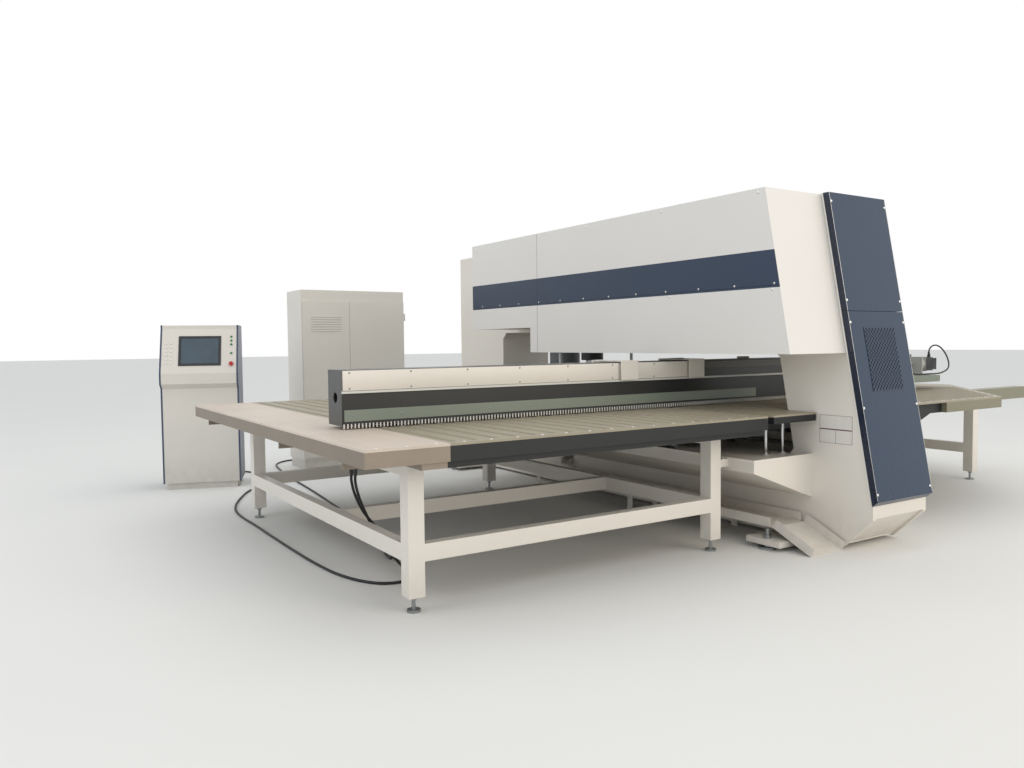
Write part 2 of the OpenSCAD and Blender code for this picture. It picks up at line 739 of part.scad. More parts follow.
// Floor frames of square tube under both side tables, bolted to the shelves
module frame_leg(x, y, top) {
    box([x, y, leg_gap], [x + tube_w, y + tube_w, top]);
}
module table_frames() {
    l = left_frame_reach;
    i = frame_inner_reach;
    r = right_frame_reach;
    w = tube_w;
    f = left_frame_front;
    q = right_frame_front;
    rear = frame_rear;
    color("whitesmoke") {
        box([-l + 2, junction_y - 100, gland_z + 18], [-l + 80, junction_y + 100, band_low - 60]);
        for (s = [-1, 1]) rod_z(junction_x, junction_y + s * 30, gland_z, gland_z + 19, 14);
        for (x = left_leg_x, y = [f, rear]) frame_leg(x, y, band_low);
        for (y = [f, second_tie_y, rear]) box([-l, y, tie_z], [-i, y + w * 0.7, tie_z + w]);
        for (y = [f, rear]) box([-i, y + 20, shelf_top - 60], [-shelf_x, y + w - 20, shelf_top - 10]);
        for (y = [q, rear]) box([shelf_x, y + 20, shelf_top - 60], [i, y + w - 20, shelf_top - 10]);
        for (x = left_leg_x) {
            box([x, f, tie_z], [x + w * 0.7, rear + w, tie_z + w]);
            box([x, f, band_low - 60], [x + w, rear + w, band_low]);
        }
        for (x = right_leg_x) {
            frame_leg(x, q, end_beam_low);
            frame_leg(x, rear, end_beam_low);
            box([x, q, end_beam_low - 60], [x + w, rear + w, end_beam_low]);
            box([x, q + w, tie_z], [x + w * 0.7, rear, tie_z + w]);
        }
        box([i, rear + 10, tie_z], [r, rear + w * 0.8, tie_z + w]);
    }
}
end_beam_low = skirt_low - 40;
shelf_x = half_w + shelf_reach;
junction_x = 40 - left_frame_reach;
junction_y = -1150;
gland_z = band_low - 110;
// Place on the slanted corner's outer face at y
function slant_x(y) = right_front_reach
    + (y - table_front) * (table_reach - right_front_reach) / corner_run;
module end_beam() {
    yb = end_beam_y + end_beam_d;
    color("#6E6A62") translate([0, 0, end_beam_low]) linear_extrude(end_beam_top - end_beam_low)
        polygon([[slant_x(end_beam_y), end_beam_y], [end_beam_reach, end_beam_y],
            [end_beam_reach, yb], [slant_x(yb), yb]]);
}
// Brush strips let into the tables
brush_front = table_front + 60;
brush_rear = table_rear - 60;
module brush(x, ya, yb) {
    box([x - brush_w / 2, ya, table_z], [x + brush_w / 2, yb, table_z + brush_h - 1]);
}
module table_brushes() {
    color("#3C3A38") {
        for (x = [-slot_out - 60:-brush_pitch:-table_reach + end_plate_w])
            brush(x, brush_front, brush_rear);
        for (x = [slot_out + 60:brush_pitch:table_reach - end_plate_w])
            brush(x, max(brush_front, table_front + 90 + (x - right_front_reach)
                * corner_run / (table_reach - right_front_reach)), brush_rear);
        for (s = [-1, 1], k = [0:4]) {
            x = s * (60 + k * brush_pitch);
            if (abs(abs(x) - abs(gauge_x)) > gauge_r + 30)
                brush(x, arm_rear + 20, window_front - 80);
        }
        for (s = [-1, 1]) brush(s * (arm_inner + slot_in) / 2, brush_front, arm_rear - 20);
    }
}

// Height of the slug slide that runs from under the working station out over the chute
function slide_z(x) = chute_z + chute_wall + 12 + 0.45 * (x + half_w + 40);
// Scrap chute beside the left side plate: level trough, then a slope to the floor
module scrap_chute() {
    t = sheet_t;
    xa = -half_w - chute_w - 15;
    xb = -half_w - 15;
    color("whitesmoke") {
        box([xa, chute_bend, chute_z], [xb, chute_rear, chute_z + t]);
        for (x = [xa, xb - t]) box([x, chute_bend + 22, chute_z], [x + t, chute_rear,
            chute_z + chute_wall]);
        across(xa, xb) polygon([[chute_bend, chute_z], [chute_bend, chute_z + t],
            [chute_end, t], [chute_end, 0]]);
        for (x = [xa, xb - t]) across(x, x + t) polygon([[chute_bend, chute_z],
            [chute_bend - 28, chute_z + chute_wall * 0.93], [chute_end - 26, chute_wall * 0.9],
            [chute_end, 0]]);
        along(ram_y - 70, ram_y + 70) polygon([[-half_w - 40, slide_z(-half_w - 40)],
            [90, slide_z(90)], [90, slide_z(90) - t], [-half_w - 40, slide_z(-half_w - 40) - t]]);
        for (y = [ram_y - 70, ram_y + 67]) along(y, y + t) polygon([[-half_w - 40,
            slide_z(-half_w - 40)], [90, slide_z(90)], [90, slide_z(90) + 50],
            [-half_w - 40, slide_z(-half_w - 40) + 50]]);
        for (y = [chute_rear - 140, -700, chute_bend + 560]) {
            box([xa + 20, y, 0], [xb - 20, y + 60, t]);
            for (x = [xa + 20, xb - 24]) box([x, y, 0], [x + 4, y + 60, chute_z]);
            box([xb - 1, y, chute_z + 30], [-half_w, y + 60, chute_z + 34]);
        }
    }
}

// Turrets and tools
lower_top = pass_z - die_proud;
lower_low = lower_top - lower_t;
upper_low = pass_z + turret_gap;
upper_top = upper_low + upper_t;
head_top = upper_top + head_h;
pitch = 360 / stations;
// Every fifth station of the outer ring is a large one
function is_big(k) = k % 5 == 2;
function station_r(k) = is_big(k) ? big_punch_r : punch_r;
// Children at outer station k, counted from the working station
module at_outer(k) {
    translate([0, turret_y, 0]) rotate([0, 0, k * pitch]) translate([0, -track_r, 0]) children();
}
// Children at inner station k, half a pitch further
module at_inner(k) {
    translate([0, turret_y, 0]) rotate([0, 0, (k + 0.5) * pitch]) translate([0, -inner_track_r, 0])
        children();
}
module index_bores(z) {
    for (k = [0:stations - 1]) translate([0, turret_y, z]) rotate([0, 0, k * pitch])
        translate([0, turret_r - index_depth, 0]) rotate([-90, 0, 0])
            cylinder(h = index_depth + 1, r = index_r + 0.5, $fn = 32);
}
module bore(r, za, zb) {
    translate([0, 0, za]) cylinder(h = zb - za, r = r, $fn = 48);
}
index_upper_z = upper_low + upper_t * 0.45;
index_lower_z = lower_top - lower_t * 0.62;
module upper_turret() {
    color("#8A8D90") difference() {
        union() {
            rod_z(0, turret_y, upper_low, upper_top, turret_r);
            rod_z(0, turret_y, upper_top - 1, upper_top + 34, housing_r);
            rod_z(0, turret_y, upper_top, window_top - 30, shaft_r);
        }
        for (k = [0:stations - 1]) {
            at_outer(k) bore(station_r(k) + fit_gap, upper_low - 1, upper_top + 1);
            at_inner(k) bore(punch_r + fit_gap, upper_low - 1, upper_top + 1);
        }
        translate([0, turret_y, upper_top - 18]) rotate_extrude($fn = 96)
            translate([housing_r + 20, 0]) square([inner_track_r - housing_r - 80, 20]);
        index_bores(index_upper_z);
    }
}
// Punch with its guide, flange, spring and head, as one turned solid. The outer station across
// from the working one stays empty, so that the ram can move with the turret half a turn on
module tool(r) {
    translate([0, 0, upper_low + 2]) cylinder(h = upper_t - 2, r = r, $fn = 48);
    translate([0, 0, upper_top]) cylinder(h = 16, r = r + 5, $fn = 48);
    translate([0, 0, upper_top + 16]) cylinder(h = head_h - 34, r = r - 7, $fn = 48);
    for (z = [26, 40]) translate([0, 0, upper_top + z]) cylinder(h = 6, r = r - 3, $fn = 48);
    translate([0, 0, head_top - 18]) cylinder(h = 18, r = r + 3, $fn = 48);
}
module punch_holders() {
    color("#5A5F64") {
        difference() {
            at_outer(0) union() {
                bore(punch_r, upper_low + 2, upper_top);
                bore(punch_r + 5, upper_top, upper_top + 16);
            }
            at_outer(0) bore(shank_r + fit_gap, upper_low, upper_top + 17);
        }
        for (k = [1:stations - 1]) if (k != stations / 2) at_outer(k) tool(station_r(k));
        for (k = [0:stations - 1]) at_inner(k) tool(punch_r);
    }
}
// Working punch under the ram: head, shank and tip
tip_low = pass_z + ram_travel - 18;
module punch() {
    color("#C8CACC") at_outer(0) {
        bore(tip_r, tip_low, tip_low + 31);
        bore(shank_r, tip_low + 30, head_top - 18);
        bore(punch_r + 3, head_top - 18, head_top);
    }
}
module lower_turret() {
    color("#8A8D90") difference() {
        union() {
            rod_z(0, turret_y, lower_low, lower_top, turret_r);
            rod_z(0, turret_y, bed_top - 20, lower_low + 1, shaft_r);
        }
        for (k = [0:stations - 1]) {
            at_outer(k) bore(station_r(k) + die_wall - 9, lower_low - 1, lower_top + 1);
            at_outer(k) bore(station_r(k) + die_wall + fit_gap, pass_z - die_h, lower_top + 1);
            at_inner(k) bore(punch_r + die_wall - 9, lower_low - 1, lower_top + 1);
            at_inner(k) bore(punch_r + die_wall + fit_gap, pass_z - die_h, lower_top + 1);
        }
        index_bores(index_lower_z);
    }
}
module die(r, hole) {
    difference() {
        bore(r + die_wall, pass_z - die_h, pass_z);
        bore(hole, pass_z - die_h - 1, pass_z + 1);
        bore(hole + 5, pass_z - die_h - 1, pass_z - 8);
    }
}
module die_holders() {
    color("#5A5F64") for (k = [0:stations - 1]) {
        at_outer(k) die(station_r(k), is_big(k) ? big_punch_r - 14 : tip_r + 0.3 + (k % 3) * 3);
        at_inner(k) die(punch_r, tip_r - 2 + (k % 4) * 2);
    }
}
module bolt_ring(y, r, hole, za, zb) {
    for (a = [0:45:315]) translate([0, y, 0]) rotate([0, 0, a]) translate([r, 0, 0])
        bore(hole, za, zb);
}
// Bearing housings of both turrets, on the frame's carrier plates
motor_r = 95;
module upper_turret_housing() {
    color("#7C8084") difference() {
        union() {
            rod_z(0, turret_y, upper_top + 60, window_top, housing_r);
            rod_z(0, turret_y, window_top - 28, window_top, housing_r + 45);
        }
        rod_z(0, turret_y, upper_top + 59, window_top - 29.5, shaft_r + fit_gap);
        rod_z(0, turret_y, window_top - 31, window_top + 1, 40);
        bolt_ring(turret_y, housing_r + 24, 9, window_top - 40, window_top - 14);
    }
}
module lower_turret_housing() {
    color("#7C8084") difference() {
        union() {
            rod_z(0, turret_y, bed_top, lower_low - 0.3, housing_r);
            rod_z(0, turret_y, bed_top, bed_top + 28, housing_r + 45);
        }
        rod_z(0, turret_y, bed_top - 1, lower_low + 1, shaft_r + fit_gap);
        bolt_ring(turret_y, housing_r + 24, 9, bed_top + 14, bed_top + 40);
    }
}
// Servo gear motors on both turret shafts
module turret_motor() {
    cylinder(h = 24, r = motor_r + 30, $fn = 48);
    cylinder(h = servo_h, r = motor_r, $fn = 48);
    translate([-servo_box / 2, -servo_box / 2, servo_h]) cube([servo_box, servo_box, servo_box_h]);
    translate([-35, servo_box / 2, servo_h + servo_box_h - 80]) cube([70, 40, 60]);
}
module turret_motors() {
    color("#2A2C2E") {
        translate([0, turret_y, window_top + web_t]) turret_motor();
        translate([0, turret_y, bed_top - web_t]) mirror([0, 0, 1]) turret_motor();
    }
}
// Ram in its guide, with the drive on top
housing_sleeve_r = 105;
ram_top = window_top + 200;
module ram_housing() {
    top = window_top + web_t;
    color("#3E4246") difference() {
        union() {
            rod_z(0, ram_y, head_top + 60, top + drive_low + 10, housing_sleeve_r);
            rod_z(0, ram_y, top, top + 36, housing_sleeve_r + 60);
            rod_z(0, ram_y, top + drive_low, frame_h - 30, drive_r);
            box([-70, ram_y - drive_r - 60, top + drive_low + 50],
                [70, ram_y - drive_r / 2, top + drive_low + 210]);
        }
        rod_z(0, ram_y, head_top + 59, ram_top + 20, ram_r + fit_gap);
        bolt_ring(ram_y, housing_sleeve_r + 40, 10, top + 20, top + 40);
    }
}
module ram() {
    z = head_top + slide_gap;
    color("silver") {
        rod_z(0, ram_y, z, z + 26, striker_r);
        rod_z(0, ram_y, z + 25, ram_top, ram_r);
    }
}
// Index pins that lock the turrets, in blocks on the rear post
pin_tip = turret_y + turret_r + 3;
block_front = pin_tip + 22;
module index_pin_blocks() {
    color("#7C8084") for (z = [index_upper_z, index_lower_z]) difference() {
        box([-55, block_front, z - 45], [55, throat_rear, z + 45]);
        rod_y(0, z, block_front - 1, throat_rear + 1, index_r + fit_gap);
    }
}
module index_pin(z) {
    color("silver") {
        rod_y(0, z, pin_tip + 8, throat_rear - 10, index_r);
        translate([0, pin_tip + 8.01, z]) rotate([90, 0, 0])
            cylinder(h = 8, r1 = index_r, r2 = index_r - 5, $fn = 32);
    }
}
module upper_index_pin() {
    index_pin(index_upper_z);
}
module lower_index_pin() {
    index_pin(index_lower_z);
}
// Work holders that press the sheet down while the clamps are moved
holder_x = 430;
holder_y = window_front + corner_cut + 47;
holder_r = 15;
holder_low = pass_z + 40;
module work_holder_brackets() {
    low = window_top - 60;
    color("#7C8084") for (s = [-1, 1]) difference() {
        union() {
            box([min(s * 180, s * (holder_x + 45)), holder_y - 45, low],
                [max(s * 180, s * (holder_x + 45)), holder_y + 45, window_top]);
            rod_z(s * holder_x, holder_y, low - 140, low + 1, 34);
        }
        rod_z(s * holder_x, holder_y, low - 141, window_top + 1, holder_r + fit_gap);
    }
}
module work_holder(s) {
    color("silver") {
        rod_z(s * holder_x, holder_y, holder_low + 24, window_top - 10, holder_r);
        rod_z(s * holder_x, holder_y, holder_low, holder_low + 25, 45);
    }
}
module work_holder_left() {
    work_holder(-1);
}
module work_holder_right() {
    work_holder(1);
}
// Gauge pin that rises from the centre table to set the sheet's side edge
module gauge_pin() {
    color("silver") rod_z(gauge_x, gauge_y, table_z - centre_rim - 60, table_z - 0.5, gauge_r);
}

// Cross beam: box with a stepped front, and a shelf for the motor on the right
beam_rear = beam_y + beam_d;
trim_z = 1096;
module x_beam() {
    w = beam_wall;
    color("#8E9295") difference() {
        union() {
            across(-beam_left, beam_right) polygon([[beam_y, beam_top], [beam_y, trim_z],
                [beam_y - 6, trim_z], [beam_y - 6, trim_z - 12], [beam_y + 12, trim_z - 12],
                [beam_y + 12, beam_low], [beam_rear, beam_low], [beam_rear, beam_top]]);
            box([beam_right - 1, beam_y + 12, shelf_z - 60],
                [beam_right + beam_shelf, beam_rear, shelf_z]);
        }
        box([-beam_left + w, beam_y + 12 + w, beam_low + w],
            [beam_right - w, beam_rear - w, beam_top - w]);
        for (s = [0, 1]) rod_x(beam_y + beam_d / 2, (beam_low + beam_top) / 2,
            s > 0 ? beam_right - w - 1 : -beam_left - 1, s > 0 ? beam_right + 1 : -beam_left + w + 1,
            30);
    }
}
// Lower cross member under the centre table, risers, slide blocks and the Y nut
block_gap = 0.2;
module slide_block_y(x, ya) {
    difference() {
        box([x - 50, ya, rail_base + 8], [x + 50, ya + 80, yoke_low]);
        box([x - rail_w / 2 - block_gap, ya - 1, rail_base],
            [x + rail_w / 2 + block_gap, ya + 81, rail_base + rail_h + block_gap]);
    }
}
yoke_low = rail_base + rail_h + 30;
yoke_h = 100;
module y_yoke() {
    color("#54585C") {
        difference() {
            box([-rail_x - 50, yoke_front, yoke_low], [rail_x + 50, yoke_rear, yoke_low + yoke_h]);
            box([-rail_x - 51, yoke_front + 12, yoke_low + 12],
                [rail_x + 51, yoke_rear - 12, yoke_low + yoke_h - 12]);
        }
        for (s = [-1, 1]) {
            box([s * rail_x - riser_t / 2, yoke_front, yoke_low + yoke_h - 1],
                [s * rail_x + riser_t / 2, yoke_rear, beam_low]);
            slide_block_y(s * rail_x, yoke_front + 10);
            slide_block_y(s * rail_x, yoke_rear - 90);
        }
        difference() {
            union() {
                rod_y(0, y_screw_z, yoke_front + 40, yoke_rear - 40, nut_r);
                box([-40, yoke_front + 60, y_screw_z], [40, yoke_rear - 60, yoke_low + 1]);
            }
            rod_y(0, y_screw_z, yoke_front + 30, yoke_rear - 30, screw_rod_r + fit_gap);
        }
    }
}
// X rails and the bearing blocks of the X screw, on the beam's rear face
x_rail_z = [935, 1180];
x_screw_z = 1110;
x_screw_y = beam_rear + 34;
x_screw_left = -beam_left + 40;
x_screw_right = beam_right + 60;
module bearing_block_x(xa, xb) {
    difference() {
        box([xa, beam_rear, x_screw_z - 42], [xb, x_screw_y + 42, x_screw_z + 42]);
        rod_x(x_screw_y, x_screw_z, xa - 1, xb + 1, screw_rod_r + fit_gap);
    }
}
module x_guides() {
    color("silver") {
        for (z = x_rail_z) difference() {
            box([-beam_left + 20, beam_rear, z - rail_w / 2],
                [beam_right - 20, beam_rear + rail_h, z + rail_w / 2]);
            for (e = [-1, 1]) box([-beam_left + 19, beam_rear + rail_h * 0.4,
                z + e * (rail_w / 2 + 1) - 4], [beam_right - 19, beam_rear + rail_h * 0.6,
                z + e * (rail_w / 2 + 1) + 4]);
        }
        bearing_block_x(x_screw_left, x_screw_left + 40);
        bearing_block_x(beam_right - 60, beam_right - 20);
    }
}
// X servo motor on the shelf, with its mounting plate
motor_x = beam_right + 430;
motor_len = 330;
module x_motor() {
    color("#222426") {
        box([motor_x - 14, x_screw_y - 110, shelf_z], [motor_x, x_screw_y + 72, x_screw_z + 72]);
        box([motor_x - 60, x_screw_y - 110, shelf_z], [motor_x + 60, beam_rear, shelf_z + 10]);
        translate([motor_x, x_screw_y, x_screw_z]) rotate([0, 0, -90])
            servo(motor_len, servo_half, gear_len);
        rod_z(motor_x + motor_len - 40, x_screw_y, x_screw_z + 50, x_screw_z + 84, 16);
    }
}
module x_screw() {
    color("silver") rod_x(x_screw_y, x_screw_z, x_screw_left + 5, motor_x - 14 - slide_gap,
        screw_rod_r);
}
module y_screw() {
    color("silver") rod_y(0, y_screw_z, y_screw_front + 5, y_screw_rear - slide_gap, screw_rod_r);
}

// Carriage: clamp bar on slide blocks, nut, and two white saddles over the beam
bar_right = bar_left + bar_len;
bar_y = beam_rear + rail_h + 26;
bar_t = 25;
bar_low = pass_z + 15;
saddle_w = 150;
saddle_x = [bar_left + 5, bar_left + 650];
module slide_block_x(xa, z) {
    difference() {
        box([xa, beam_rear + 8, z - 50], [xa + 90, bar_y + 1, z + 50]);
        box([xa - 1, beam_rear, z - rail_w / 2 - block_gap],
            [xa + 91, beam_rear + rail_h + block_gap, z + rail_w / 2 + block_gap]);
    }
}
module x_carriage() {
    top = beam_top + 5;
    color("#E9E6DF") {
        box([bar_left, bar_y, bar_low], [bar_right, bar_y + bar_t, beam_top - 5]);
        for (x = saddle_x) {
            box([x, bar_y, beam_top - 10], [x + saddle_w, bar_y + bar_t, top + 8]);
            box([x, beam_y - 30, top], [x + saddle_w, bar_y + bar_t, top + 8]);
            box([x, beam_y - 30, trim_z], [x + saddle_w, beam_y - 22, top + 8]);
        }
        for (x = [bar_left + 20, bar_left + bar_len / 2 - 45, bar_right - 110], z = x_rail_z)
            slide_block_x(x, z);
        difference() {
            union() {
                rod_x(x_screw_y, x_screw_z, bar_left + 250, bar_left + 370, nut_r - 8);
                box([bar_left + 260, x_screw_y, x_screw_z - 28],
                    [bar_left + 360, bar_y + 1, x_screw_z + 28]);
            }
            rod_x(x_screw_y, x_screw_z, bar_left + 240, bar_left + 380, screw_rod_r + fit_gap);
        }
    }
}
// Work clamps: body with a thin lower jaw, and a pivoted upper jaw
clamp_y = bar_y + bar_t;
clamp_x = [for (k = [0:clamps - 1]) bar_left + clamp_inset
    + k * (bar_len - 2 * clamp_inset) / (clamps - 1)];
jaw_pivot = [clamp_y + 62, pass_z + 52];
jaw_r = 9;
jaw_half = clamp_w / 2 - 14;
module clamp_body(x) {
    h = clamp_w / 2;
    difference() {
        union() {
            box([x - h, clamp_y, table_z + 5], [x + h, clamp_y + 26, pass_z + 110]);
            box([x - h, clamp_y, table_z + 5], [x + h, clamp_y + clamp_reach, pass_z]);
            for (s = [-1, 1]) across(min(x + s * h, x + s * (jaw_half + 0.5)),
                max(x + s * h, x + s * (jaw_half + 0.5))) polygon([[clamp_y, pass_z - 1],
                [clamp_y + 96, pass_z - 1], [clamp_y + 96, pass_z + 60], [clamp_y + 60, pass_z + 84],
                [clamp_y, pass_z + 110]]);
            rod_y(x, pass_z + 90, clamp_y + 25, clamp_y + 38, 20);
        }
        rod_x(jaw_pivot[0], jaw_pivot[1], x - h - 1, x + h + 1, jaw_r + fit_gap);
    }
}
module clamp_bodies() {
    color("#4A4E52") for (x = clamp_x) clamp_body(x);
}
module clamp_jaw(k) {
    x = clamp_x[k];
    color("#B9BCC0") {
        across(x - jaw_half, x + jaw_half) polygon([[jaw_pivot[0] - 22, jaw_pivot[1] - 22],
            [jaw_pivot[0] - 22, jaw_pivot[1] + 14], [jaw_pivot[0] + 14, jaw_pivot[1] + 14],
            [clamp_y + clamp_reach, pass_z + 16], [clamp_y + clamp_reach, pass_z + 0.5],
            [clamp_y + clamp_reach - 32, pass_z + 0.5]]);
        rod_x(jaw_pivot[0], jaw_pivot[1], x - clamp_w / 2, x + clamp_w / 2, jaw_r);
    }
}
module clamp_jaw_1() {
    clamp_jaw(0);
}
module clamp_jaw_2() {
    clamp_jaw(1);
}
module clamp_jaw_3() {
    clamp_jaw(2);
}

// Console, drawn with its left front corner at the origin and its width along X
module console_place() {
    translate([console_x, console_y, 0]) rotate([0, 0, console_turn]) children();
}
shelf_low_z = plinth_h + console_body_h;
shelf_box_z = shelf_low_z + console_slope_h;
shelf_top_z = shelf_box_z + console_shelf_h;
slope_len = norm([console_lean, console_h - 34 - shelf_top_z]);
slope_angle = atan2(console_h - 34 - shelf_top_z, console_lean);
// Outline of the console's side, moved in by d
module console_outline(d) {
    s = console_shelf_d;
    polygon([[s + d, plinth_h + d], [s + d, shelf_low_z], [d, shelf_box_z],
        [d, shelf_top_z - d], [console_lean + d, console_h - 34 - d], [console_lean + d,
        console_h - d], [s + console_d - d, console_h - d], [s + console_d - d, plinth_h + d]]);
}
module console_body() {
    t = cheek_t;
    s = console_shelf_d;
    color("#DCD8D0") console_place() difference() {
        union() {
            across(t, console_w - t) console_outline(2);
            box([t + 20, s + 22, 0], [console_w - t - 20, s + console_d - 20, plinth_h + 3]);
            rod_y(console_w * 0.4, 120, s + console_d - 4, s + console_d + 20, 16);
        }
        screen_frame(2) translate([-0.3, -0.3, -8]) cube([screen_w + 0.6, screen_h + 0.6, 40]);
        for (k = [0, 1]) button_frame(k) translate([0, 0, -30]) cylinder(h = 31,
            r = button_r * 0.7 + 0.1, $fn = 32);
        for (x = [0.3, 0.5, 0.7]) box([console_w * x - 50, s + console_d - 6, 700],
            [console_w * x + 50, s + console_d + 1, 712]);
    }
}
// Frame of the sloped panel: X across, Y up the slope, Z out of the panel
module slope_frame(d) {
    translate([0, d, shelf_top_z - d]) rotate([slope_angle, 0, 0]) children();
}
screen_x = 165;
module screen_frame(d) {
    slope_frame(d) translate([screen_x, (slope_len - screen_h) / 2, 0]) children();
}
// Buttons stand on the top of the shelf box
module button_frame(k) {
    slope_frame(2) translate([console_w - 62, 90 + k * 110, 0]) children();
}
module console_cheeks() {
    color("#2F3B5C") console_place() for (x = [0, console_w - cheek_t])
        across(x, x + cheek_t) console_outline(0);
}
module console_screen() {
    color("#202224") console_place() screen_frame(2) {
        difference() {
            translate([0, 0, -8]) cube([screen_w, screen_h, 14]);
            translate([22, 22, 2]) cube([screen_w - 44, screen_h - 44, 20]);
        }
    }
}
module estop_button() {
    color("#B3201E") console_place() button_frame(0) {
        translate([0, 0, -14]) cylinder(h = 15 + button_travel, r = button_r * 0.7, $fn = 32);
        translate([0, 0, 1 + button_travel]) cylinder(h = 14, r = button_r * 1.4, $fn = 48);
    }
}
module start_button() {
    color("#2E7D3A") console_place() button_frame(1)
        translate([0, 0, -14]) cylinder(h = 19 + button_travel, r = button_r * 0.7, $fn = 32);
}

// Electrical cabinet with one hinged door and a fixed panel
cabinet_left = cabinet_x - cabinet_w;
door_low = cabinet_plinth + 30;
door_high = cabinet_h - 120;
door_left = cabinet_x - cabinet_door_w;
hinge_x = cabinet_x + 9;
hinge_y = cabinet_y - 9;
module cabinet_body() {
    y = cabinet_y;
    color("#E4E0D6") {
        difference() {
            box([cabinet_left, y, cabinet_plinth], [cabinet_x, y + cabinet_d, cabinet_h]);
            box([cabinet_left + 4, y + 25, cabinet_plinth + 4],
                [cabinet_x - 4, y + cabinet_d - 4, cabinet_h - 4]);
            box([door_left + 25, y - 1, door_low + 20],
                [cabinet_x - 25, y + 30, door_high - 20]);
        }
        box([cabinet_left + 10, y + 20, 0], [cabinet_x - 10, y + cabinet_d - 20,
            cabinet_plinth + 1]);
        box([cabinet_left + 10, y - door_t, door_low], [door_left - door_gap, y, door_high]);
        for (z = [door_low + 150, door_high - 150]) difference() {
            union() {
                rod_z(hinge_x, hinge_y, z - 60, z - 25, 10);
                box([cabinet_x - 1, hinge_y - 4, z - 60], [hinge_x, hinge_y + 30, z - 25]);
            }
            rod_z(hinge_x, hinge_y, z - 61, z - 24, hinge_r + fit_gap);
        }
        rod_y(cabinet_left + 300, 120, y + cabinet_d - 2, y + cabinet_d + gland_len, 16);
        box([cabinet_left + 60, y + cabinet_d - 44, cabinet_plinth + 80],
            [cabinet_x - 60, y + cabinet_d - 40, cabinet_h - 90]);
        for (x = [cabinet_left + 120, cabinet_x - 140]) box([x, y + cabinet_d - 41,
            cabinet_plinth + 3], [x + 20, y + cabinet_d - 3, cabinet_h - 100]);
        for (k = [0:4]) box([cabinet_left + 120 + k * 190, y + cabinet_d - 200, 1180],
            [cabinet_left + 240 + k * 190, y + cabinet_d - 43, 1560]);
        for (z = [520, 880]) box([cabinet_left + 120, y + cabinet_d - 110, z],
            [cabinet_x - 120, y + cabinet_d - 43, z + 90]);
    }
}
module cabinet_door() {
    y = cabinet_y;
    color("#E4E0D6") {
        difference() {
            box([door_left, y - door_t, door_low], [cabinet_x - 4, y - 0.5, door_high]);
            box([door_left + 3, y - door_t + 3, door_low + 3],
                [cabinet_x - 7, y + 1, door_high - 3]);
        }
        for (z = [door_low + 150, door_high - 150]) {
            rod_z(hinge_x, hinge_y, z - 60, z + 20, hinge_r);
            rod_z(hinge_x, hinge_y, z - 24, z + 20, 10);
            box([cabinet_x - 10, hinge_y - 10, z - 24], [hinge_x, hinge_y - 4, z + 20]);
        }
        box([door_left + 30, y - door_t - 12, (door_low + door_high) / 2 - 70],
            [door_left + 62, y - door_t + 1, (door_low + door_high) / 2 + 70]);
    }
}

// Cables: one tube swept along a smooth curve through chosen points
function unit(v) = v / norm(v);
function spline(a, b, c, d, u) = 0.5 * ((2 * b) + (c - a) * u
    + (2 * a - 5 * b + 4 * c - d) * u * u + (3 * b - a - 3 * c + d) * u * u * u);
function smooth_path(p, n) = [for (i = [0:len(p) - 2], j = [0:n - 1])
    spline(p[max(i - 1, 0)], p[i], p[i + 1], p[min(i + 2, len(p) - 1)], j / n), p[len(p) - 1]];
function tangents(p) = [for (i = [0:len(p) - 1])
    unit(p[min(i + 1, len(p) - 1)] - p[max(i - 1, 0)])];
function carry(t, first) = [for (i = 0, n = first; i < len(t); i = i + 1,
    n = i < len(t) ? unit(n - (n * t[i]) * t[i]) : n) n];
module cable(points, d, sides) {
    p = [for (q = smooth_path(points, 2)) [q[0], q[1], max(q[2], d / 2 + 0.2)]];
    t = tangents(p);
    n0 = abs(t[0][2]) > 0.9 ? [1, 0, 0] : [0, 0, 1];
    n = carry(t, unit(n0 - (n0 * t[0]) * t[0]));
    ring = [for (i = [0:len(p) - 1], k = [0:sides - 1])
        p[i] + d / 2 * (cos(360 * k / sides) * n[i] + sin(360 * k / sides) * cross(t[i], n[i]))];
    last = len(p) - 1;
    polyhedron(ring, concat([[for (k = [0:sides - 1]) k]],
        [for (i = [0:last - 1], k = [0:sides - 1]) [i * sides + k, (i + 1) * sides + k,
            (i + 1) * sides + (k + 1) % sides, i * sides + (k + 1) % sides]],
        [[for (k = [sides - 1:-1:0]) last * sides + k]]));
}
// Floor point of the console's own frame
function console_point(x, y, z) = [console_x + x * cos(console_turn) - y * sin(console_turn),
    console_y + x * sin(console_turn) + y * cos(console_turn), z];
console_back = console_shelf_d + console_d + 20;
console_route = concat([for (z = [0, 45, 90]) [junction_x, junction_y - 30, gland_z - z]],
    [[-3108, -1176, 470], [-3065, -1166, 370], [-3015, -1162, 270], [-2955, -1165, 170],
    [-2900, -1185, 90], [-2862, -1235, 32], [-2852, -1310, 9], [-2890, -1395, 9],
    [-2975, -1430, 9], [-3070, -1395, 9], [-3140, -1300, 9], [-3190, -1160, 9], [-3225, -950, 9],
    [-3245, -500, 9], [-3245, 400, 9], [-3220, 1200, 9], [-2960, 1900, 9], [-2650, 2400, 9],
    [-2530, 2900, 9], [-2590, 3230, 9], [-2760, 3440, 9], [-2930, 3420, 9]],
    [for (e = [[300, 9], [240, 9], [186, 23], [141, 64.5], [96, 106], [48, 120], [24, 120],
        [0, 120]]) console_point(console_w * 0.4, console_back + e[0], e[1])]);
cabinet_back = cabinet_y + cabinet_d + gland_len;
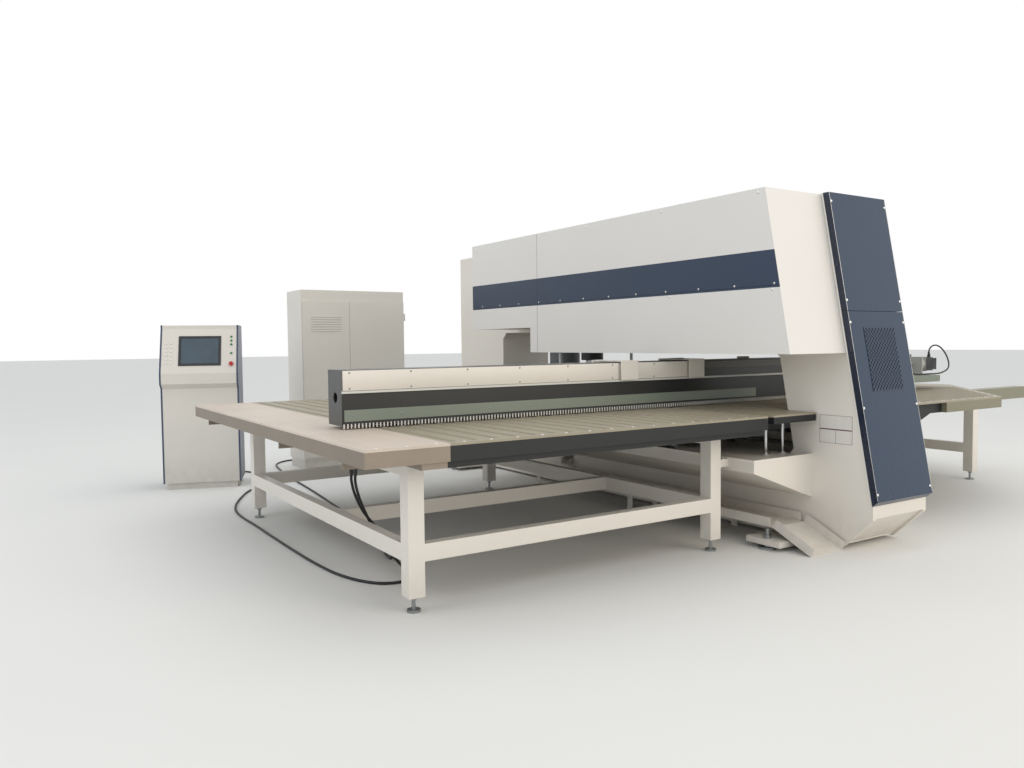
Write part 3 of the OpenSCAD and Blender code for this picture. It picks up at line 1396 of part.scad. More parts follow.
cabinet_route = concat([for (z = [0, 45, 90]) [junction_x, junction_y + 30, gland_z - z]],
    [[-3108, -1120, 470], [-3058, -1116, 370], [-2990, -1110, 280], [-2920, -1095, 190],
    [-2865, -1060, 100], [-2830, -1000, 35], [-2805, -910, 9], [-2775, -780, 9],
    [-2680, -500, 9], [-2560, 100, 9], [-2480, 900, 9], [-2400, 1700, 9], [-2340, 2400, 9],
    [-2260, 3100, 9], [-2190, 3500, 9], [-2090, 3690, 9], [-1960, 3790, 9], [-1830, 3790, 9]],
    [for (e = [[-20, 215, 16], [0, 150, 55], [0, 107, 102], [0, 60, 120], [0, 30, 120], [0, 0, 120]])
        [cabinet_left + 300 + e[0], cabinet_back + e[1], e[2]]]);
plug = [motor_x + motor_len - 40, x_screw_y, x_screw_z + 84];
hole_y = beam_y + beam_d / 2;
hole_z = (beam_low + beam_top) / 2;
motor_route = concat([for (e = [[0, 0, 0], [0, 0, 18], [0, 0, 36], [12, -3, 66], [42, -13, 92],
    [82, -30, 96], [118, -54, 72], [134, -88, 20], [126, -122, -42], [86, -154, -98],
    [20, -178, -134], [-70, -190, -158], [-180, -195, -172]]) plug + e],
    [[motor_x - 60, hole_y - 45, shelf_z + 12], [motor_x - 200, hole_y - 30, shelf_z + 12],
    [beam_right + 120, hole_y - 5, shelf_z + 30], [beam_right + 60, hole_y, hole_z],
    [beam_right + 20, hole_y, hole_z], [beam_right - 30, hole_y, hole_z]]);
module console_cable() {
    color("#17181A") cable(console_route, cable_d, 8);
}
module cabinet_cable() {
    color("#17181A") cable(cabinet_route, cable_d, 8);
}
module x_motor_cable() {
    color("#17181A") cable(motor_route, motor_cable_d, 8);
}

at() side_plate_left();
at() side_plate_right();
at() frame_webs();
at() frame_feet();
at() levelling_feet();
at() front_cover_upper();
at() front_cover_lower();
at() side_cover_left_upper();
at() side_cover_left_lower();
at() side_cover_right();
at() cover_screws();
at() side_shelves();
at() y_guides();
at() y_motor();
at() centre_table();
at() table_posts();
at() left_table();
at() right_table();
at() table_frames();
at() table_brushes();
at() end_beam();
at() scrap_chute();
at() upper_turret_housing();
at() lower_turret_housing();
at() turret_motors();
at() ram_housing();
at() index_pin_blocks();
at() work_holder_brackets();
at() console_body();
at() console_cheeks();
at() console_screen();
at() cabinet_body();
at() console_cable();
at() cabinet_cable();
at() x_beam();
at() y_yoke();
at() x_guides();
at() x_motor();
at() x_motor_cable();
at() x_screw();
at() y_screw();
at() x_carriage();
at() clamp_bodies();
at() clamp_jaw_1();
at() clamp_jaw_2();
at() clamp_jaw_3();
at() upper_turret();
at() punch_holders();
at() punch();
at() lower_turret();
at() die_holders();
at() ram();
at() upper_index_pin();
at() lower_index_pin();
at() work_holder_left();
at() work_holder_right();
at() gauge_pin();
at() cabinet_door();
at() estop_button();
at() start_button();
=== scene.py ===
"""CNC turret punch press: finishes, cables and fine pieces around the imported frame.

Lengths in the functions are millimetres of the press's drawing, measured from the middle of its
frame, with Y to the rear and Z up. place() turns them into metres of the shared frame.
"""

import math

import bpy
import numpy as np
from bpy.props import FloatProperty, FloatVectorProperty, PointerProperty
from bpy.types import Operator, Panel, PropertyGroup
from mathutils import Matrix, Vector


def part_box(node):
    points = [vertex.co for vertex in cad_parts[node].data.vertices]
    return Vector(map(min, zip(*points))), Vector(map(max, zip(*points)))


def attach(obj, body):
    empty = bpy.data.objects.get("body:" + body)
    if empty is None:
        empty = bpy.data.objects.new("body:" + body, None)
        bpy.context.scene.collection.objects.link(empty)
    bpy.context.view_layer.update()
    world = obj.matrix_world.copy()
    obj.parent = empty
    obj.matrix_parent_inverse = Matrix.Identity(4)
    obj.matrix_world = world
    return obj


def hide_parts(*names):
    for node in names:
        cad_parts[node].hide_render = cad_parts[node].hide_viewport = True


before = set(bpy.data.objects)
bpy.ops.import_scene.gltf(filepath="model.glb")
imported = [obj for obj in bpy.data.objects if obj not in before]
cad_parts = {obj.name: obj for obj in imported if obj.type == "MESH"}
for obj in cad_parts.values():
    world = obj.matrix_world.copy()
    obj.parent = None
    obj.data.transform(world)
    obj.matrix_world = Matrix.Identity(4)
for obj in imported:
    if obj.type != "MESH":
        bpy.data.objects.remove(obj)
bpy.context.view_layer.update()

bl_info = {
    "name": "Turret punch press",
    "version": (1, 0, 0),
    "blender": (4, 5, 0),
    "location": "View3D > Sidebar > Press",
    "description": "Finishes, cables and fine pieces of a turret punch press",
    "category": "Object",
}

# Low corner of the left side plate in the drawing, which fixes the drawing's origin
PLATE_CORNER = np.array([-290.0, -2600.0, 0.0])
ORIGIN = np.array([*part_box("side_plate_left")[0][:2], 0.0]) - PLATE_CORNER / 1000

# Drawing sizes that several pieces share, in millimetres: the side plates' nose and lean, the
# front trays' depth, half width and vent, and the side covers' outer faces
NOSE_HIGH, LEAN = 313.0, 378.0 / 1997.0
TRAY_OUT, TRAY_HALF, VENT_Z = 45.0, 299.0, 1231.0
COVER_X = 838.0
TABLE_Z, TABLE_FRONT, TABLE_REAR = 880.0, -2190.0, 1300.0
BEAM_Y, BEAM_LEFT, MOTOR_HEAD = -1300.0, -3240.0, 2801.0
# Middles of the beam's screw, which runs along X, and of the throat's, which runs along Y
SCREW_Y, SCREW_Z, Y_SCREW_Z = -1046.0, 1110.0, 610.0
# Glands of the junction box under the left table
JUNCTION = np.array([-3130.0, -1150.0, 647.0])
# Corner and turn of the console, and run and rise of its sloped panel
CONSOLE, CONSOLE_TURN = np.array([-3550.0, 2540.0]), math.radians(-19)
PANEL = 170.0, 420.0
# Radius and height of the domed screw heads on the beam
PAN_HEAD = [(6, 0), (5.8, 0.8), (4.4, 1.8), (1.0, 2.4)]


def place(points):
    """Metres of the shared frame for millimetres of the drawing."""
    return np.asarray(points, float) / 1000 + ORIGIN


def front_y(z):
    """Front edge of the side plates at height z: upright below the nose, then leaning back."""
    return -2600.0 + LEAN * np.maximum(0.0, np.asarray(z, float) - NOSE_HIGH)


def linear(code):
    """Linear red, green and blue of an sRGB hex colour."""
    s = np.array([int(code[i:i + 2], 16) for i in (1, 3, 5)]) / 255
    return tuple(np.where(s <= 0.04045, s / 12.92, ((s + 0.055) / 1.055) ** 2.4))


def colour(name, code, text):
    """Colour property with an sRGB hex default."""
    return FloatVectorProperty(name=name, description=text, default=linear(code), size=3,
                               min=0.0, max=1.0, subtype="COLOR")


def length(name, metres, text):
    """Length property in metres."""
    return FloatProperty(name=name, description=text, default=metres, min=0.0,
                         unit="LENGTH", subtype="DISTANCE")


class PressSizes(PropertyGroup):
    """Sizes of the fine pieces"""

    floor_half: length("Floor", 90.0, "Half width of the studio floor")
    cable: length("Floor cables", 0.017, "Diameter of the console and cabinet cables")
    motor_cable: length("Motor cable", 0.014, "Diameter of the beam motor's cable")
    bunch: length("Bristle bunches", 0.016, "Distance between bunches of a brush strip")
    comb: length("Comb teeth", 0.022, "Distance between teeth of the beam's comb")
    lead: length("Screw lead", 0.040, "Advance of a ball screw in one turn")
    edge_screws: length("Edge screws", 0.155, "Distance between screws along a table edge")
    lens: FloatProperty(name="Lens", description="Focal length in millimetres", default=28.79,
                        min=1.0, unit="CAMERA")


class PressFinishes(PropertyGroup):
    """Colours of the finishes"""

    shell: colour("Frame coat", "#E6E1D8", "Powder coat of the welded frame")
    cover: colour("Cover coat", "#E3E1DD", "Powder coat of the side covers")
    # Painted shade: the darker navy of the trays' folded sides stands for shade on the blue enamel
    blue: colour("Blue enamel", "#17304B", "Enamel of the front trays and the stripe")
    navy_painted_shade: colour("Navy edge", "#131F35", "Enamel of the trays' folded sides")
    table_top: colour("Table top", "#9D9582", "Paint of the table plates")
    table_rim: colour("Table rim", "#171B1D", "Paint of the dark table rims")
    pale_rim: colour("Olive rim", "#84826E", "Paint of the right table's rim and the end beam")
    # Partly the beam's own dark paint and partly painted shade: the shaded beam is drawn darker
    # than its lit grey-green shelf
    beam: colour("Beam", "#3A3D3C", "Paint of the cross beam")
    beam_dark: colour("Beam, lower face", "#1A1D1E", "Paint of the beam's lower face")
    beam_shelf: colour("Beam shelf", "#808A7E", "Paint of the beam's shelf and wear strip")
    rubber: colour("Cable jacket", "#17181A", "Rubber jacket of the cables")
    bristle: colour("Bristles", "#968E7C", "Nylon bristles of the table brushes")
    console: colour("Console coat", "#DAD6CE", "Powder coat of the console")
    cheek: colour("Console cheeks", "#3A4560", "Powder coat of the console's cheeks")
    motor: colour("Motor enamel", "#222426", "Black enamel of the servo motors")
    steel: colour("Bright steel", "#B9BCBD", "Ground steel of rails, screws and pins")
    cast: colour("Cast grey", "#7B7F83", "Machine enamel on castings")
    floor: colour("Floor", "#E6E6E3", "Matt studio floor")


# Skins: closed surfaces as points in the drawing and lists of face corners

def grid(rows, columns):
    """Quads between neighbouring points of a grid that runs row by row and wraps round."""
    r = np.arange(rows - 1)[:, None] * columns
    c = np.arange(columns)[None, :]
    d = (c + 1) % columns
    return np.stack([r + c, r + d, r + columns + d, r + columns + c], -1).reshape(-1, 4)


def rings(points):
    """Closed skin over rings of points: quads between the rings, and a lid on each end.
    The rings turn anticlockwise seen from the end that they run towards."""
    m, k = points.shape[:2]
    return points.reshape(-1, 3), [grid(m, k), np.arange(k)[None, ::-1],
                                   (m - 1) * k + np.arange(k)[None, :]]


def unit(v):
    """Vector of length one."""
    v = np.asarray(v, float)
    return v / np.linalg.norm(v)


def square_to(axis):
    """Unit vector of an axis, and two more that are square to it and to each other."""
    n = unit(axis)
    e = unit(np.cross(n, [0, 0, 1] if abs(n[2]) < 0.9 else [1, 0, 0]))
    return n, e, np.cross(n, e)


def turned(profile, centre, axis, corners=24):
    """Turned part: a circle whose radius and height along the axis follow the profile."""
    n, e, f = square_to(axis)
    t = np.arange(corners) * 2 * np.pi / corners
    circle = np.cos(t)[:, None] * e + np.sin(t)[:, None] * f
    r, h = np.asarray(profile, float).T
    return rings(np.asarray(centre, float) + r[:, None, None] * circle + h[:, None, None] * n)


def rounded(half_u, half_v, radius, steps):
    """Rectangle with round corners: quarter circles set at the four corners of a smaller one."""
    t = (np.arange(4)[:, None] + np.linspace(0, 1, steps)[None, :]) * np.pi / 2
    su, sv = np.array([1, -1, -1, 1])[:, None], np.array([1, 1, -1, -1])[:, None]
    u = su * (half_u - radius) + radius * np.cos(t)
    v = sv * (half_v - radius) + radius * np.sin(t)
    return np.stack([u, v], -1).reshape(-1, 2)


def block(low, high, edge=0.5, radius=2.0, steps=3, up=2, draft=0.0):
    """Slab between two corners: a rounded rectangle carried along the axis up, drawn in by the
    edge size at its foot and top, and by the draft over its height."""
    a, b = (np.roll(np.asarray(p, float), 2 - up) for p in (low, high))
    half, mid, tall = (b - a)[:2] / 2, (a + b)[:2] / 2, b[2] - a[2]
    levels = [(edge, 0.0), (0.0, edge), (draft, tall - edge), (draft + edge, tall)]
    out = []
    for inset, h in levels:
        flat = rounded(half[0] - inset, half[1] - inset, max(radius - inset, 0.05), steps) + mid
        out.append(np.column_stack([flat, np.full(len(flat), a[2] + h)]))
    return rings(np.roll(np.array(out), up - 2, axis=-1))


def copies(skin, offsets):
    """The same skin at every offset, as whole arrays."""
    points, faces = skin
    offsets = np.asarray(offsets, float)
    shift = (np.arange(len(offsets)) * len(points))[:, None, None]
    return ((points[None] + offsets[:, None]).reshape(-1, 3),
            [(f[None] + shift).reshape(-1, f.shape[1]) for f in faces])


def row(skin, count, step):
    """The same skin count times, a step apart."""
    return copies(skin, np.arange(count)[:, None] * np.array(step))


def heads(profile, spots, axis, corners=12):
    """The same turned head at every spot."""
    return copies(turned(profile, (0, 0, 0), axis, corners), spots)


def weld(skins):
    """One skin in which points at the same place are one point."""
    starts = np.cumsum([0] + [len(points) for points, faces in skins[:-1]])
    points = np.round(np.concatenate([points for points, faces in skins]), 4)
    points, index = np.unique(points, axis=0, return_inverse=True)
    return points, [index.ravel()[f + start] for (_, faces), start in zip(skins, starts)
                    for f in faces]


def punched(columns, cells, pitch, tall, slot_w, slot_l, thick):
    """Punched sheet, its middle at the origin. Its columns are rows of cells, every other one
    half a cell higher, and a cell is a ring of faces between its edge and a slot, which is
    two half circles and the straights between them."""
    quarter = np.radians([225, 270, 315, 0, 0, 0, 45, 90, 135, 180, 180, 180])
    side = np.array([-1, -1, -1, -1, 0, 1, 1, 1, 1, 1, 0, -1]) * (slot_l - slot_w) / 2
    slot = np.column_stack([pitch / 2 + slot_w / 2 * np.cos(quarter),
                            tall / 2 + slot_w / 2 * np.sin(quarter) + side])
    rim = np.column_stack([np.array([0, 1, 2, 2, 2, 2, 2, 1, 0, 0, 0, 0]) * pitch / 2,
                           np.array([0, 0, 0, 1, 2, 3, 4, 4, 4, 3, 2, 1]) * tall / 4])
    half = rim[[0, 1, 2, 3, 4, 7, 10, 11]]
    half[5, 1] = tall / 2

    def level(flat, n):
        """Flat outline at height n."""
        return np.column_stack([flat, np.full(len(flat), n)])

    cell = (np.vstack([level(rim, thick), level(slot, thick), level(slot, 0), level(rim, 0)]),
            [grid(4, 12)])
    blank = (np.vstack([level(half, thick), level(half, 0)]),
             [np.arange(8)[None], np.arange(8, 16)[None, ::-1]])
    i, j = (a.ravel() for a in np.meshgrid(np.arange(columns), np.arange(cells)))
    spots = np.column_stack([i * pitch, (j + i % 2 / 2) * tall, 0 * i])
    k = np.arange(columns)
    ends = np.column_stack([k * pitch, (1 - k % 2) * cells * tall, 0 * k])
    wide, high = columns * pitch, (cells + 0.5) * tall
    across, up = np.arange(2 * columns) * pitch / 2, np.arange(4 * cells + 2) * tall / 4
    edge = np.vstack([np.column_stack([across, 0 * across]),
                      np.column_stack([wide + 0 * up, up]),
                      np.column_stack([wide - across, high + 0 * across]),
                      np.column_stack([0 * up, high - up])])
    wall = (np.vstack([level(edge, 0), level(edge, thick)]), [grid(2, len(edge))])
    points, faces = weld([copies(cell, spots), copies(blank, ends), wall])
    return points - [wide / 2, high / 2, 0], faces


def in_scene(name, data):
    """New object of the scene with the given mesh, curve, lamp or camera."""
    made = bpy.data.objects.new(name, data)
    bpy.context.scene.collection.objects.link(made)
    return made


def piece(name, skins, finish, body="frame", replaces=(), crease=35, to_frame=place):
    """One mesh object made of skins, at the origin of the shared frame, riding on a body."""
    points, corners, sizes, start = [], [], [], 0
    for skin_points, faces in skins:
        points.append(skin_points)
        for f in faces:
            corners.append((f + start).ravel())
            sizes.append(np.full(len(f), f.shape[1]))
        start += len(skin_points)
    corners, sizes = np.concatenate(corners), np.concatenate(sizes)
    mesh = bpy.data.meshes.new(name)
    mesh.vertices.add(start)
    mesh.vertices.foreach_set("co", to_frame(np.concatenate(points)).ravel())
    mesh.loops.add(len(corners))
    mesh.loops.foreach_set("vertex_index", corners)
    mesh.polygons.add(len(sizes))
    mesh.polygons.foreach_set("loop_start", np.concatenate([[0], np.cumsum(sizes)[:-1]]))
    mesh.polygons.foreach_set("use_smooth", np.ones(len(sizes), bool))
    mesh.update(calc_edges=True)
    mesh.validate()
    mesh.set_sharp_from_angle(angle=math.radians(crease))
    mesh.materials.append(bpy.data.materials[finish])
    made = in_scene(name, mesh)
    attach(made, body)
    if replaces:
        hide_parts(*replaces)
    return made


# Finishes

# Numbers of the colour sockets of a colour mix
MIX_A, MIX_B = 6, 7


def add(tree, kind, inputs=None, **settings):
    """Adds a node. Inputs map a socket's name or number to a value or to another output, and a
    node given as a value stands for its first output in use."""
    node = tree.nodes.new("ShaderNode" + kind)
    for key, value in settings.items():
        setattr(node, key, value)
    for key, value in (inputs or {}).items():
        if isinstance(value, bpy.types.Node):
            value = next(out for out in value.outputs if out.enabled)
        if isinstance(value, bpy.types.NodeSocket):
            tree.links.new(value, node.inputs[key])
        else:
            node.inputs[key].default_value = value
    return node


def opaque(rgb, level=1.0):
    """Colour socket value of a hex colour or linear numbers, its brightness scaled by level."""
    rgb = linear(rgb) if isinstance(rgb, str) else rgb
    return (*(min(1.0, c * level) for c in rgb), 1.0)


def begin(name):
    """New material: its empty tree and its object coordinates."""
    made = bpy.data.materials.new(name)
    made.use_nodes = True
    made.node_tree.nodes.clear()
    return made.node_tree, add(made.node_tree, "TexCoord").outputs["Object"]


def drift(tree, where, scale, detail, low, high):
    """A noise, and the colour that goes from low to high with it."""
    noise = add(tree, "TexNoise", {"Vector": where, "Scale": scale, "Detail": detail})
    return noise, add(tree, "Mix", {0: noise, MIX_A: low, MIX_B: high}, data_type="RGBA")


def close(tree, sockets):
    """Ends a material with its shader, whose sockets are given."""
    add(tree, "OutputMaterial", {"Surface": add(tree, "BsdfPrincipled", sockets)})


def shade(tree, sockets, dull, low, high, bump):
    """Ends a material whose roughness goes from low to high with the node dull, and whose
    surface has the given bump, with its depth in metres."""
    rough = add(tree, "MapRange", {0: dull, 3: low, 4: high})
    close(tree, {**sockets, "Roughness": rough, "Normal": add(tree, "Bump", bump)})


def between(tree, value, low, high):
    """Mask that is one where a value lies between two limits, with a soft edge of 1.2 mm."""
    soft = 0.0006
    up = add(tree, "MapRange", {0: value, 1: low - soft, 2: low + soft})
    down = add(tree, "MapRange", {0: value, 1: high - soft, 2: high + soft, 3: 1.0, 4: 0.0})
    return add(tree, "Math", {0: up, 1: down}, operation="MULTIPLY")


def powder_coat(name, rgb, roughness=0.42, wave_mm=220.0, bands=(), peel_depth=0.05):
    """Polyester powder coat on sheet steel: an even colour with a soft sheen. Slight waves of
    the sheet move the highlights, a fine orange peel breaks them, and dust dulls the foot.
    Bands are boxes of another colour: (colour, low corner, high corner), in the drawing."""
    tree, where = begin(name)
    axes = add(tree, "SeparateXYZ", {0: where}).outputs
    # Slow changes of tone over about a metre, as the coat's thickness varies
    tone = drift(tree, where, 1.3, 3.0, opaque(rgb, 0.965), opaque(rgb, 1.03))[1]
    for band, low, high in bands:
        a, b = place(low), place(high)
        mask = between(tree, axes[0], a[0], b[0])
        for k in (1, 2):
            mask = add(tree, "Math", {0: mask, 1: between(tree, axes[k], a[k], b[k])},
                       operation="MULTIPLY")
        tone = add(tree, "Mix", {0: mask, MIX_A: tone, MIX_B: opaque(band)}, data_type="RGBA")
    # Dust and scuffs in the lowest 350 mm, in patches of about 60 mm
    patch = add(tree, "TexNoise", {"Vector": where, "Scale": 16.0, "Detail": 5.0})
    foot = add(tree, "MapRange", {0: axes[2], 1: 0.35, 2: 0.02})
    dust = add(tree, "Math", {0: foot, 1: patch}, operation="MULTIPLY")
    thin = add(tree, "Math", {0: dust, 1: 0.35}, operation="MULTIPLY")
    tone = add(tree, "Mix", {0: thin, MIX_A: tone, MIX_B: opaque("#7D7669")}, data_type="RGBA")
    # The real peel is 1 to 2 mm across: drawn at 9 mm, or it wouldn't show
    peel = add(tree, "TexNoise", {"Vector": where, "Scale": 1000 / 9.0, "Detail": 2.0})
    fine = add(tree, "Bump", {"Strength": peel_depth, "Distance": 0.0003, "Height": peel})
    wave = add(tree, "TexNoise", {"Vector": where, "Scale": 1000 / wave_mm, "Detail": 1.0})
    shade(tree, {"Base Color": tone, "IOR": 1.5, "Coat Weight": 0.12, "Coat Roughness": 0.25},
          patch, roughness - 0.05, roughness + 0.08,
          {"Strength": 0.05, "Distance": 0.002, "Height": wave, "Normal": fine})


def ground_steel(name, rgb, roughness=0.3, along=0, marks_mm=2.5):
    """Ground or drawn steel: bright, with fine parallel marks along one axis that stretch the
    highlights. The real marks are under 0.1 mm apart: drawn wider, or they wouldn't show."""
    tree, where = begin(name)
    scale = [1000 / marks_mm] * 3
    scale[along] = 6.0
    lines = add(tree, "Mapping", {"Vector": where, "Scale": scale})
    grain = add(tree, "TexNoise", {"Vector": lines, "Scale": 1.0, "Detail": 3.0})
    stain = add(tree, "TexNoise", {"Vector": where, "Scale": 7.0, "Detail": 4.0})
    mixed = add(tree, "Math", {0: grain, 1: stain}, operation="MULTIPLY")
    tone = add(tree, "Mix", {0: mixed, MIX_A: opaque(rgb, 0.82), MIX_B: opaque(rgb, 1.12)},
               data_type="RGBA")
    shade(tree, {"Base Color": tone, "Metallic": 1.0}, grain, roughness - 0.08,
          roughness + 0.12, {"Strength": 0.18, "Distance": 0.0004, "Height": grain})


def machine_enamel(name, rgb, roughness=0.5):
    """Brushed machine enamel on a casting: the casting's sand grain shows through, with worn,
    slightly shinier spots. The real grain is about 1 mm: drawn at 14 mm, or it wouldn't show."""
    tree, where = begin(name)
    sand = add(tree, "TexNoise", {"Vector": where, "Scale": 1000 / 14.0, "Detail": 6.0,
                                  "Roughness": 0.65})
    worn, tone = drift(tree, where, 9.0, 4.0, opaque(rgb, 0.86), opaque(rgb, 1.14))
    shade(tree, {"Base Color": tone, "IOR": 1.5}, worn, roughness + 0.1, roughness - 0.12,
          {"Strength": 0.3, "Distance": 0.0008, "Height": sand})


def table_paint(name, top, rim, split=None, far_top=None, far_rim=None, beyond=1, bare=False):
    """Matt paint on a steel table: the plate's face is rubbed by sheet metal in fine streaks
    along the machine, the rim below keeps its own colour. Past the split in X, the far colours
    hold, and the rim may be bare brushed stainless."""
    tree, where = begin(name)
    sockets = {"IOR": 1.5}
    axes = add(tree, "SeparateXYZ", {0: where}).outputs
    # The rim starts 12 mm below the table's top, with a soft edge of 1 mm here and at the split
    low, soft = (TABLE_Z - 12) / 1000, 0.0005
    face = add(tree, "MapRange", {0: axes[2], 1: low - soft, 2: low + soft})
    tone = add(tree, "Mix", {0: face, MIX_A: opaque(rim), MIX_B: opaque(top)}, data_type="RGBA")
    if split is not None:
        x = place((split, 0, 0))[0]
        past = add(tree, "MapRange", {0: axes[0], 1: x - beyond * soft, 2: x + beyond * soft})
        far = add(tree, "Mix", {0: face, MIX_A: opaque(far_rim), MIX_B: opaque(far_top)},
                  data_type="RGBA")
        tone = add(tree, "Mix", {0: past, MIX_A: tone, MIX_B: far}, data_type="RGBA")
        if bare:
            sockets["Metallic"] = add(tree, "Math", {0: past, 1: face}, operation="SUBTRACT",
                                      use_clamp=True)
    # Rub marks: streaks 12 mm wide and about half a metre long
    rubbed = add(tree, "Mapping", {"Vector": where, "Scale": (80.0, 2.0, 80.0)})
    streak = add(tree, "TexNoise", {"Vector": rubbed, "Scale": 1.0, "Detail": 4.0})
    patch = add(tree, "TexNoise", {"Vector": where, "Scale": 3.2, "Detail": 5.0})
    both = add(tree, "Math", {0: streak, 1: patch}, operation="MULTIPLY")
    level = add(tree, "MapRange", {0: both, 1: 0.12, 2: 0.42, 3: 0.93, 4: 1.08})
    sockets["Base Color"] = add(tree, "VectorMath", {0: tone, 1: level}, operation="MULTIPLY")
    shade(tree, sockets, streak, 0.36, 0.6,
          {"Strength": 0.12, "Distance": 0.0005, "Height": streak})


def moulded(name, rgb, roughness=0.45, grain_mm=6.0):
    """Moulded rubber, nylon or ABS: one colour with a faint grain and dull, handled spots."""
    tree, where = begin(name)
    grain, tone = drift(tree, where, 1000 / grain_mm, 3.0, opaque(rgb, 0.8), opaque(rgb, 1.25))
    shade(tree, {"Base Color": tone, "IOR": 1.5}, grain, roughness - 0.1, roughness + 0.12,
          {"Strength": 0.15, "Distance": 0.0004, "Height": grain})


# Operators

class PressOperator:
    """What the operators of the press share"""

    bl_options = {"REGISTER", "UNDO"}

    @staticmethod
    def settings(context):
        """Sizes and colours that the user can change."""
        return context.scene.press_sizes, context.scene.press_finishes


class MakeStage(PressOperator, Operator):
    """Pale floor, soft lamps, white surroundings and the camera"""

    bl_idname = "press.stage"
    bl_label = "Stage and camera"

    def execute(self, context):
        sizes, colours = self.settings(context)
        scene = context.scene
        scene.view_settings.view_transform = "Standard"
        self.camera(scene, sizes)
        self.floor(sizes, colours)
        self.surroundings(scene)
        # Softboxes: place, aim and width in metres, power in watts, colour
        for name, spot, aim, width, power, tint in (
                ("key_softbox", (2.5, -12.0, 5.0), (-0.5, 0.0, 1.0), 7.0, 370.0, "#FFEDD6"),
                ("side_softbox", (-13.0, -2.0, 6.0), (-0.5, 0.0, 1.0), 7.0, 190.0, "#F6F9FF"),
                ("top_softbox", (0.0, 0.0, 9.0), (0.0, 0.0, 0.0), 9.0, 110.0, "#FFFDF8")):
            lamp = bpy.data.lights.new(name, "AREA")
            lamp.color = linear(tint)
            lamp.shape = "SQUARE"
            lamp.size = width
            lamp.energy = power
            back = unit(np.subtract(spot, aim))
            right = unit(np.cross([0, 1, 0.001], back))
            in_scene(name, lamp).matrix_world = self.turned_to(right, back, spot)
        return {"FINISHED"}

    @staticmethod
    def turned_to(right, back, spot):
        """Matrix of an object at a spot that looks along minus back."""
        m = np.eye(4)
        m[:3] = np.column_stack([right, np.cross(back, right), back, spot])
        return Matrix(m.tolist())

    def camera(self, scene, sizes):
        """Camera solved from the machine's straight edges."""
        yaw, pitch, roll = (math.radians(a) for a in (32.83, -2.90, -0.578))
        level = np.array([math.cos(yaw), -math.sin(yaw), 0.0])
        ahead = np.array([math.sin(yaw) * math.cos(pitch), math.cos(yaw) * math.cos(pitch),
                          math.sin(pitch)])
        right = math.cos(roll) * level + math.sin(roll) * np.cross(level, ahead)
        data = bpy.data.cameras.new("camera")
        data.sensor_width = 36.0
        data.lens = sizes.lens
        data.clip_end = 400.0
        scene.camera = in_scene("camera", data)
        spot = place((-4917, -5634, 1360))
        scene.camera.matrix_world = self.turned_to(right, -ahead, spot)

    @staticmethod
    def floor(sizes, colours):
        """Matt floor: one quad, with a faint unevenness of tone."""
        h = sizes.floor_half
        mesh = bpy.data.meshes.new("studio_floor")
        mesh.from_pydata([(-h, -h, 0), (h, -h, 0), (h, h, 0), (-h, h, 0)], [], [(0, 1, 2, 3)])
        tree, where = begin("studio_floor")
        tone = drift(tree, where, 0.8, 3.0, opaque(colours.floor, 0.98),
                     opaque(colours.floor, 1.02))[1]
        close(tree, {"Base Color": tone, "Roughness": 0.9})
        mesh.materials.append(bpy.data.materials["studio_floor"])
        in_scene("studio_floor", mesh)

    @staticmethod
    def surroundings(scene):
        """White to the camera, to gloss and through glass, and a plain fill light otherwise."""
        world = bpy.data.worlds.new("studio")
        world.use_nodes = True
        tree = world.node_tree
        tree.nodes.clear()
        path = add(tree, "LightPath").outputs
        seen = add(tree, "Math", {0: path["Is Camera Ray"], 1: path["Is Glossy Ray"]},
                   operation="MAXIMUM")
        seen = add(tree, "Math", {0: seen, 1: path["Is Transmission Ray"]}, operation="MAXIMUM")
        fill = add(tree, "Background", {"Color": (0.96, 0.98, 1.0, 1.0), "Strength": 0.84})
        white = add(tree, "Background", {"Color": (1.0, 1.0, 1.0, 1.0), "Strength": 1.0})
        mixed = add(tree, "MixShader", {0: seen, 1: fill, 2: white})
        add(tree, "OutputWorld", {"Surface": mixed})
        scene.world = world


# CAD nodes that keep their own shape, under the finish that their material slots get
NODE_FINISHES = {
    "powder_coat_frame": "side_plate_left side_plate_right frame_webs frame_feet side_shelves "
                         "scrap_chute table_frames x_carriage",
    "powder_coat_cover": "side_cover_left_upper side_cover_left_lower side_cover_right",
    "gloss_enamel_blue": "front_cover_upper front_cover_lower",
    "nickel_plate": "cover_screws",
    "powder_coat_console": "console_body cabinet_body cabinet_door",
    "powder_coat_cheek": "console_cheeks",
    "enamel_pale_green": "end_beam",
    "enamel_beam": "x_beam",
    "table_paint_centre": "centre_table",
    "table_paint_left": "left_table",
    "table_paint_right": "right_table",
    "ground_steel_cross": "x_guides",
    "ground_steel_long": "y_guides upper_index_pin lower_index_pin",
    "ground_steel_upright": "ram punch work_holder_left work_holder_right gauge_pin "
                            "clamp_jaw_1 clamp_jaw_2 clamp_jaw_3",
    "hard_chrome": "table_posts",
    "turned_turret_steel": "upper_turret lower_turret",
    "blackened_tool_steel": "punch_holders die_holders clamp_bodies",
    "zinc_plate": "levelling_feet",
    "machine_enamel_grey": "upper_turret_housing lower_turret_housing index_pin_blocks "
                           "work_holder_brackets",
    "machine_enamel_dark": "ram_housing y_yoke",
    "motor_enamel_black": "turret_motors y_motor",
    "motor_enamel": "x_motor",
    "abs_dark": "console_screen",
    "abs_red": "estop_button",
    "abs_green": "start_button",
}


